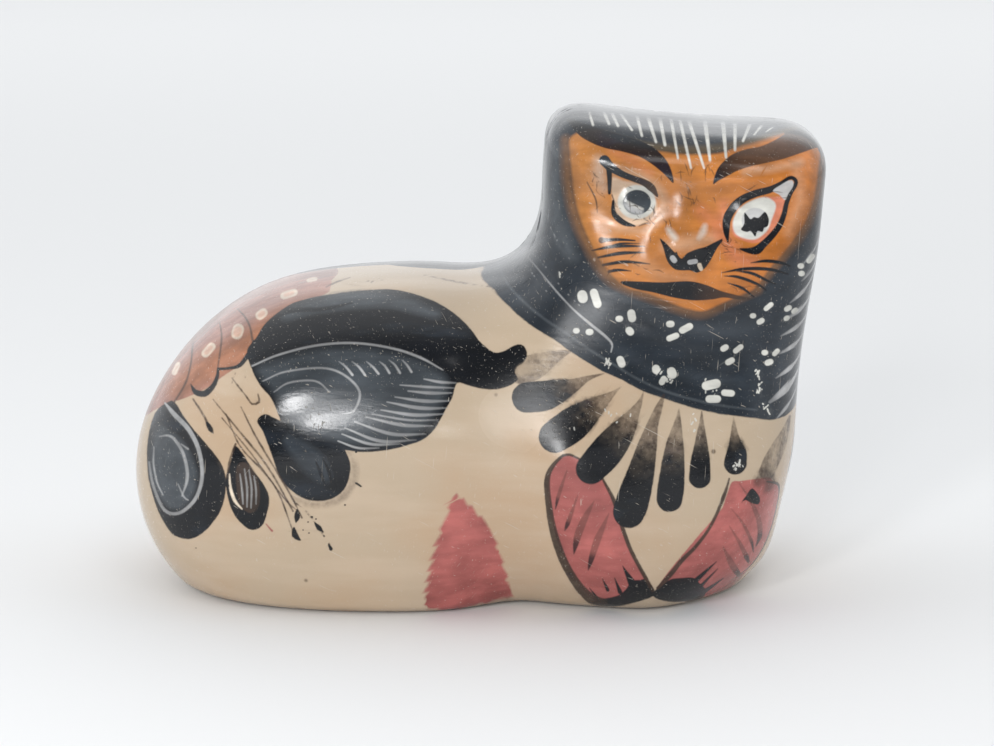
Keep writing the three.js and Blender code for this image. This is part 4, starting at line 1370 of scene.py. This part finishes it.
# Lights: azimuth, elevation, distance, width, height, brightness and the point they face,
# in degrees and metres
LIGHTS_TARGET = Vector((0, 0, 0.06))
DIM_SIDE = Vector((0, -1, 0.45)).normalized()
LIGHTS = {
    "window_left": (-23, 25, 1.1, 0.14, 0.17, 38, LIGHTS_TARGET),
    "window_right": (-12, 13, 1.1, 0.14, 0.16, 40, LIGHTS_TARGET),
    "window_glow": (-18, 19, 1.1, 0.26, 0.22, 8, LIGHTS_TARGET),
    "low_lamp": (5, 5, 1.2, 0.06, 0.05, 28, LIGHTS_TARGET),
    "mid_lamp": (3, 31, 1.2, 0.04, 0.04, 12, LIGHTS_TARGET),
    "high_lamp": (24, 50, 1.1, 0.25, 0.25, 4, LIGHTS_TARGET),
    "low_sheet": (10, 6, 1.3, 1.1, 0.14, 0.8, LIGHTS_TARGET),
    "far_window": (180, 36, 2.6, 3.2, 1.2, 0.2, LIGHTS_TARGET),
    "far_floor": (180, 27, 2.1, 3.4, 1.2, 0.34, Vector((0, 1.9, 0))),
    "left_wall": (-92, 33, 2.4, 1.4, 1.2, 0.6, LIGHTS_TARGET),
    "right_wall": (92, 32, 2.4, 1.4, 1.2, 0.5, LIGHTS_TARGET),
}
FACE_LOW, FACE_HIGH, FACE_GRID = (555, 112), (830, 320), 2.8
# The fired slip: its warm and pale clouds as shares of the bare slip, its specks, the milky
# bloom on dark paint and the colour in scratches
WARM_SHARE, PALE_SHARE = (1.02, 0.86, 0.74), (1.12, 1.12, 1.15)
SPECK, BLOOM, SCRATCHED = (0.06, 0.035, 0.02, 1), (0.013, 0.018, 0.026, 1), (0.5, 0.45, 0.38, 1)
BURNISH_SHINE, MARK_DEPTH = 0.38, 0.0004
FLOOR_REACH, FLOOR_DROP = 3.0, -0.0002
# Scratches: turn in radians, size and how rare they are
SCRATCH_SETS = ((0.5, 40, 0.72), (1.7, 55, 0.73), (2.6, 75, 0.73), (0.9, 110, 0.74))
SCRATCH_STRETCH = 45
# How far apart the mesh points are, in millimetres, where each view sees the clay best
CAT_SPACINGS = {FRONT: 1.15, LEFT: 1.8, RIGHT: 1.8, BACK: 1.7, TOP: 1.8, SOLE: 2.5}


def packed_shift(points):
    """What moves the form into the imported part's frame, in millimetres."""
    middle = (points.min(0) + points.max(0)) / 2
    packed = (np.array(CAD_LOW) + np.array(CAD_HIGH)) / 2 / MM
    return np.array([packed[0] - middle[0], packed[1] - middle[1], -SOLE_CUT])


def node(tree, kind, inputs=None, **settings):
    """A shader node with its settings made and its inputs set or linked."""
    made = tree.nodes.new("ShaderNode" + kind)
    for name, value in settings.items():
        setattr(made, name, value)
    join(tree, made, inputs or {})
    return made


def join(tree, made, inputs):
    """Links or sets a node's inputs."""
    for name, value in inputs.items():
        if isinstance(value, bpy.types.NodeSocket):
            tree.links.new(value, made.inputs[name])
        else:
            made.inputs[name].default_value = value


def new_group(name, inputs, outputs):
    """A shader node group with named sockets, its input node and its output node."""
    group = bpy.data.node_groups.new(name, "ShaderNodeTree")
    for socket, kind in inputs.items():
        group.interface.new_socket(socket, in_out="INPUT", socket_type="NodeSocket" + kind)
    for socket, kind in outputs.items():
        group.interface.new_socket(socket, in_out="OUTPUT", socket_type="NodeSocket" + kind)
    return group, group.nodes.new("NodeGroupInput"), group.nodes.new("NodeGroupOutput")


def ramped(tree, value, low, high, low_out=0.0, high_out=1.0):
    """A value carried smoothly from one range into another."""
    inputs = {0: value, 1: low, 2: high, 3: low_out, 4: high_out}
    return node(tree, "MapRange", inputs, interpolation_type="SMOOTHSTEP").outputs[0]


def noise(tree, place, scale, detail=3.0, stretch=(1, 1, 1), seed=0.0):
    moved = node(tree, "Mapping", {"Vector": place, "Scale": stretch, "Location": (seed, seed, 0)})
    made = node(tree, "TexNoise", {"Vector": moved.outputs[0], "Scale": scale, "Detail": detail})
    return made.outputs["Fac"]


def math_node(tree, operation, a, b):
    return node(tree, "Math", {0: a, 1: b}, operation=operation).outputs[0]


def mixed(tree, share, a, b):
    """Colour a with a share of colour b over it."""
    return node(tree, "Mix", {0: share, 6: a, 7: b}, data_type="RGBA").outputs[2]


def scaled(tree, colour, much):
    return node(tree, "VectorMath", {0: colour, "Scale": much}, operation="SCALE").outputs[0]


def mottled_clay():
    """Node group: the bare slip, streaked by burnishing and clouded by the fire."""
    group, given, made = new_group(
        "Mottled Clay",
        {"Place": "Vector", "Slip": "Color", "Warm": "Color", "Pale": "Color", "Speck": "Color"},
        {"Color": "Color"},
    )
    place = given.outputs["Place"]
    clouds = ramped(group, noise(group, place, 22, 4, seed=3), 0.42, 0.68)
    streaks = ramped(group, noise(group, place, 60, 5, (0.35, 1, 2.2), 7), 0.45, 0.7)
    colour = mixed(group, math_node(group, "MULTIPLY", clouds, 0.55), given.outputs["Slip"],
                   given.outputs["Warm"])
    colour = mixed(group, math_node(group, "MULTIPLY", streaks, 0.6), colour, given.outputs["Pale"])
    specks = node(group, "TexVoronoi", {"Vector": place, "Scale": 160, "Randomness": 1})
    few = node(group, "SeparateColor", {0: specks.outputs["Color"]}).outputs[0]
    near = ramped(group, specks.outputs["Distance"], 0.14, 0.05)
    chosen = ramped(group, few, 0.93, 0.95)
    speck = math_node(group, "MULTIPLY", near, chosen)
    colour = mixed(group, math_node(group, "MULTIPLY", speck, 0.7), colour, given.outputs["Speck"])
    group.links.new(colour, made.inputs["Color"])
    return group


def brushed_paint():
    """Node group: paint over clay, with thin washes broken up as the brush left them."""
    group, given, made = new_group(
        "Brushed Paint",
        {"Place": "Vector", "Clay": "Color", "Paint": "Color", "Cover": "Float",
         "Bloom": "Color", "Scratched": "Color", "Scratches": "Float"},
        {"Color": "Color"},
    )
    place = given.outputs["Place"]
    cover = given.outputs["Cover"]
    grain = ramped(group, noise(group, place, 900, 4, seed=5), 0.3, 0.7, -1, 1)
    blots = ramped(group, noise(group, place, 260, 3, seed=9), 0.35, 0.65, -1, 1)
    uneven = math_node(group, "ADD", math_node(group, "MULTIPLY", grain, 0.12),
                       math_node(group, "MULTIPLY", blots, 0.16))
    thin = math_node(group, "MULTIPLY", cover, math_node(group, "SUBTRACT", 1.0, cover))
    thin = math_node(group, "MULTIPLY", thin, 4.0)
    share = math_node(group, "ADD", cover, math_node(group, "MULTIPLY", uneven, thin))
    # Small losses, where the slip shows through the paint
    losses = ramped(group, noise(group, place, 480, 5, (0.8, 1, 1), 13), 0.70, 0.74)
    worn = ramped(group, noise(group, place, 60, 3, seed=17), 0.62, 0.72)
    losses = math_node(group, "MULTIPLY", losses, worn)
    share = math_node(group, "SUBTRACT", share, math_node(group, "MULTIPLY", losses, 0.75))
    share = node(group, "Clamp", {0: share}).outputs[0]
    whole = math_node(group, "MAXIMUM", cover, 0.02)
    full = scaled(group, given.outputs["Paint"], math_node(group, "DIVIDE", 1.0, whole))
    # The brush leaves lighter and darker strokes
    clouds = ramped(group, noise(group, place, 75, 4, (0.8, 1, 1), 21), 0.3, 0.7, 0.78, 1.2)
    hairs = ramped(group, noise(group, place, 420, 3, (0.25, 1, 1), 25), 0.3, 0.7, 0.86, 1.14)
    full = scaled(group, full, math_node(group, "MULTIPLY", clouds, hairs))
    milky = ramped(group, noise(group, place, 110, 6, (0.4, 1, 1), 29), 0.46, 0.72)
    milky = scaled(group, given.outputs["Bloom"], milky)
    full = node(group, "VectorMath", {0: full, 1: milky}, operation="MAXIMUM").outputs[0]
    colour = mixed(group, share, given.outputs["Clay"], full)
    colour = mixed(group, math_node(group, "MULTIPLY", given.outputs["Scratches"], 0.45), colour,
                   given.outputs["Scratched"])
    group.links.new(colour, made.inputs["Color"])
    return group


def worn_gloss():
    """Node group: the burnisher's marks, hairline scratches and dull rubbed places."""
    group, given, made = new_group(
        "Worn Gloss",
        {"Place": "Vector", "Smooth": "Float", "Rubbed": "Float", "Handled": "Float"},
        {"Roughness": "Float", "Height": "Float", "Scratches": "Float"},
    )
    place = given.outputs["Place"]
    rubs = ramped(group, noise(group, place, 34, 5, (0.7, 1, 1), 2), 0.42, 0.7)
    strokes = noise(group, place, 95, 3, (0.25, 1, 1.6), 4)
    dents = noise(group, place, 560, 4, (0.5, 1, 1.4), 6)
    grit = noise(group, place, 1900, 2, (0.6, 1, 1), 8)
    scratches = None
    for number, (turn, size, level) in enumerate(SCRATCH_SETS):
        turned = node(group, "Mapping", {
            "Vector": place, "Rotation": (0.3 * number, turn, number),
            "Scale": (1, 1 / SCRATCH_STRETCH, 1 / SCRATCH_STRETCH),
        }, vector_type="TEXTURE")
        line = node(group, "TexNoise", {"Vector": turned.outputs[0], "Scale": size, "Detail": 1})
        line = ramped(group, line.outputs["Fac"], level, level + 0.05)
        scratches = line if scratches is None else math_node(group, "MAXIMUM", scratches, line)
    rubs = math_node(group, "ADD", rubs, given.outputs["Handled"])
    span = math_node(group, "SUBTRACT", given.outputs["Rubbed"], given.outputs["Smooth"])
    rough = math_node(group, "MULTIPLY", rubs, span)
    rough = math_node(group, "ADD", rough, given.outputs["Smooth"])
    rough = math_node(group, "ADD", rough, math_node(group, "MULTIPLY", scratches, 0.2))
    height = math_node(group, "ADD", math_node(group, "MULTIPLY", strokes, 0.5),
                       math_node(group, "MULTIPLY", dents, 0.18))
    height = math_node(group, "ADD", height, math_node(group, "MULTIPLY", grit, 0.045))
    height = math_node(group, "SUBTRACT", height, math_node(group, "MULTIPLY", scratches, 0.12))
    group.links.new(rough, made.inputs["Roughness"])
    group.links.new(height, made.inputs["Height"])
    group.links.new(scratches, made.inputs["Scratches"])
    return group


def group_node(tree, group, inputs):
    made = node(tree, "Group", node_tree=group)
    join(tree, made, inputs)
    return made


def clay_material(palette, finish):
    """Burnished and painted clay, from the painted colours on the mesh."""
    material = bpy.data.materials.new("painted_clay")
    material.use_nodes = True
    tree = material.node_tree
    shader = tree.nodes["Principled BSDF"]
    place = node(tree, "TexCoord").outputs["Object"]
    paint = node(tree, "Attribute", attribute_name=PAINT)
    buff = palette["buff"]
    clay = group_node(tree, mottled_clay(), {
        "Place": place,
        "Slip": (*buff, 1),
        "Warm": (*(part * share for part, share in zip(buff, WARM_SHARE)), 1),
        "Pale": (*(part * share for part, share in zip(buff, PALE_SHARE)), 1),
        "Speck": SPECK,
    })
    gloss = group_node(tree, worn_gloss(), {
        "Place": place, "Smooth": finish.smooth, "Rubbed": finish.rubbed,
        "Handled": node(tree, "Attribute", attribute_name=HANDLED).outputs["Fac"],
    })
    coloured = group_node(tree, brushed_paint(), {
        "Place": place, "Clay": clay.outputs["Color"], "Paint": paint.outputs["Color"],
        "Cover": paint.outputs["Alpha"], "Bloom": BLOOM,
        "Scratched": SCRATCHED, "Scratches": gloss.outputs["Scratches"],
    })
    bump = node(tree, "Bump", {"Height": gloss.outputs["Height"], "Strength": finish.bump,
                               "Distance": MARK_DEPTH})
    tree.links.new(coloured.outputs["Color"], shader.inputs["Base Color"])
    tree.links.new(gloss.outputs["Roughness"], shader.inputs["Roughness"])
    tree.links.new(bump.outputs["Normal"], shader.inputs["Normal"])
    shader.inputs["Specular IOR Level"].default_value = BURNISH_SHINE
    return material


def matte_material(name, colour, rough=0.9):
    material = bpy.data.materials.new(name)
    material.use_nodes = True
    shader = material.node_tree.nodes["Principled BSDF"]
    shader.inputs["Base Color"].default_value = (*colour, 1)
    shader.inputs["Roughness"].default_value = rough
    shader.inputs["Specular IOR Level"].default_value = 0.2
    return material


def room_world(stage):
    """A pale room, dimmer behind the camera."""
    world = bpy.data.worlds.new("room")
    world.use_nodes = True
    tree = world.node_tree
    way = node(tree, "TexCoord").outputs["Generated"]
    ahead = node(tree, "VectorMath", {0: way, 1: DIM_SIDE}, operation="DOT_PRODUCT")
    share = ramped(tree, ahead.outputs["Value"], 0.25, 0.8, stage.room, stage.dim)
    sky = tree.nodes["Background"]
    sky.inputs["Color"].default_value = (0.97, 0.985, 1.0, 1)
    tree.links.new(share, sky.inputs["Strength"])
    return world


def slip_colour(slip, name, description):
    """A colour property that starts as one of the slips."""
    return bpy.props.FloatVectorProperty(
        name=name, description=description, subtype="COLOR", min=0, max=1, default=SLIPS[slip])


class ClayCatFinish(bpy.types.PropertyGroup):
    """Colours and surface of the painted clay."""

    buff: slip_colour("buff", "Bare slip", "Colour of the burnished, unpainted clay")
    black: slip_colour("black", "Black", "Colour of the drops, paws' toes and wing")
    cowl: slip_colour("cowl", "Cowl", "Colour of the dark cowl over head and neck")
    grey: slip_colour("grey", "Grey", "Colour inside the petals and the wing")
    brown: slip_colour("brown", "Brown wash", "Colour of thin lines and thinned strokes")
    white: slip_colour("white", "White", "Colour of dots, hair strokes and eyes")
    orange: slip_colour("orange", "Orange", "Colour of the forehead and left cheek")
    amber: slip_colour("amber", "Amber", "Colour of the right cheek")
    red: slip_colour("red", "Red", "Colour of the paws")
    pink: slip_colour("pink", "Pink", "Colour of the blanket on the rump")
    rust: slip_colour("rust", "Rust", "Colour of the warm glow on that blanket")
    smooth: bpy.props.FloatProperty(
        name="Polish", description="Roughness where the burnish is whole",
        subtype="FACTOR", min=0, max=1, default=0.13)
    rubbed: bpy.props.FloatProperty(
        name="Rubbed", description="Roughness where the burnish is rubbed dull",
        subtype="FACTOR", min=0, max=1, default=0.20)
    bump: bpy.props.FloatProperty(
        name="Tool marks", description="Strength of burnishing marks and scratches",
        subtype="FACTOR", min=0, max=1, default=0.45)


class ClayCatStage(bpy.types.PropertyGroup):
    """The floor, the lights and the camera."""

    floor: bpy.props.FloatVectorProperty(
        name="Floor", description="Colour of the floor", subtype="COLOR", min=0, max=1,
        default=(0.78, 0.785, 0.79))
    room: bpy.props.FloatProperty(
        name="Room light", description="Strength of the pale walls", min=0, default=1.24)
    dim: bpy.props.FloatProperty(
        name="Dim side", description="Strength of the room behind the camera", min=0, default=0.26)
    lamps: bpy.props.FloatProperty(
        name="Lamps", description="Strength of all the lamps together", min=0, default=0.87)


class CLAYCAT_OT_add_cat(bpy.types.Operator):
    """Add the painted clay cat in place of the plain solid"""

    bl_idname = "claycat.add_cat"
    bl_label = "Add Painted Cat"
    bl_options = {"REGISTER", "UNDO"}

    def execute(self, context):
        finish = context.scene.clay_cat_finish
        palette = {name: tuple(getattr(finish, name, slip)) for name, slip in SLIPS.items()}
        layers = all_layers()
        face_points = FRONT.solid(triangle_grid(FACE_LOW, FACE_HIGH, FACE_GRID))
        points, faces = clay_skin(layers, CAT_SPACINGS, face_points)
        cat = Cat(points)
        paint = cat.painted(layers, palette)
        points[:, 2] = np.maximum(points[:, 2], SOLE_CUT)
        shift = packed_shift(points)
        mesh = bpy.data.meshes.new("painted_cat")
        mesh.from_pydata((points + shift) * MM, [], faces)
        mesh.validate()
        attribute = mesh.attributes.new(PAINT, "FLOAT_COLOR", "POINT")
        attribute.data.foreach_set("color", paint.ravel())
        dull = sum(much * np.exp(-(((points - centre) / radius) ** 2).sum(1))
                   for centre, radius, much in DULL_PLACES)
        attribute = mesh.attributes.new(HANDLED, "FLOAT", "POINT")
        attribute.data.foreach_set("value", dull)
        mesh.normals_split_custom_set_from_vertices(cat.normals)
        mesh.materials.append(clay_material(palette, finish))
        piece = bpy.data.objects.new("painted_cat", mesh)
        context.scene.collection.objects.link(piece)
        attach(piece, "root")
        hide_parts(CAD_NODE)
        context.scene["clay_cat_shift"] = list(shift)
        return {"FINISHED"}


class CLAYCAT_OT_add_stage(bpy.types.Operator):
    """Add the pale floor, the soft lights and the camera"""

    bl_idname = "claycat.add_stage"
    bl_label = "Add Stage"
    bl_options = {"REGISTER", "UNDO"}

    def execute(self, context):
        scene = context.scene
        stage = scene.clay_cat_stage
        shift = np.array(scene["clay_cat_shift"])
        mesh = bpy.data.meshes.new("floor")
        turns = ((-1, -1), (1, -1), (1, 1), (-1, 1))
        corners = [(x * FLOOR_REACH, y * FLOOR_REACH, FLOOR_DROP) for x, y in turns]
        mesh.from_pydata(corners, [], [(0, 1, 2, 3)])
        mesh.materials.append(matte_material("floor_paper", stage.floor))
        floor = bpy.data.objects.new("floor", mesh)
        scene.collection.objects.link(floor)

        scene.world = room_world(stage)
        for name, (azimuth, elevation, distance, wide, high, glow, aim) in LIGHTS.items():
            lamp = bpy.data.lights.new(name, "AREA")
            lamp.shape, lamp.size, lamp.size_y = "RECTANGLE", wide, high
            lamp.energy = glow * stage.lamps * math.pi * wide * high
            light = bpy.data.objects.new(name, lamp)
            light.visible_camera = False
            light.location = LIGHTS_TARGET + Vector(View(azimuth, elevation).back * distance)
            light.rotation_euler = (aim - light.location).to_track_quat("-Z", "Y").to_euler()
            scene.collection.objects.link(light)

        camera = bpy.data.cameras.new("camera")
        camera.sensor_width = 36.0
        camera.lens = FRONT.focal / PHOTO_WIDE * camera.sensor_width
        camera.clip_end = 20.0
        holder = bpy.data.objects.new("camera", camera)
        holder.location = Vector((FRONT.eye + shift) * MM)
        holder.rotation_euler = Vector(-FRONT.back).to_track_quat("-Z", "Y").to_euler()
        scene.collection.objects.link(holder)
        scene.camera = holder
        scene.view_settings.view_transform = "Standard"
        return {"FINISHED"}


class CLAYCAT_PT_panel(bpy.types.Panel):
    bl_idname = "CLAYCAT_PT_panel"
    bl_label = "Painted Clay Cat"
    bl_space_type = "VIEW_3D"
    bl_region_type = "UI"
    bl_category = "Clay Cat"

    def draw(self, context):
        layout = self.layout
        layout.operator(CLAYCAT_OT_add_cat.bl_idname)
        layout.operator(CLAYCAT_OT_add_stage.bl_idname)
        for group in (context.scene.clay_cat_finish, context.scene.clay_cat_stage):
            box = layout.box()
            for name in group.__annotations__:
                box.prop(group, name)


CLASSES = (
    ClayCatFinish,
    ClayCatStage,
    CLAYCAT_OT_add_cat,
    CLAYCAT_OT_add_stage,
    CLAYCAT_PT_panel,
)


def register():
    for cls in CLASSES:
        bpy.utils.register_class(cls)
    bpy.types.Scene.clay_cat_finish = bpy.props.PointerProperty(type=ClayCatFinish)
    bpy.types.Scene.clay_cat_stage = bpy.props.PointerProperty(type=ClayCatStage)


def unregister():
    del bpy.types.Scene.clay_cat_stage
    del bpy.types.Scene.clay_cat_finish
    for cls in reversed(CLASSES):
        bpy.utils.unregister_class(cls)


def main():
    register()
    bpy.ops.claycat.add_cat()
    bpy.ops.claycat.add_stage()


if __name__ == "__main__":
    main()
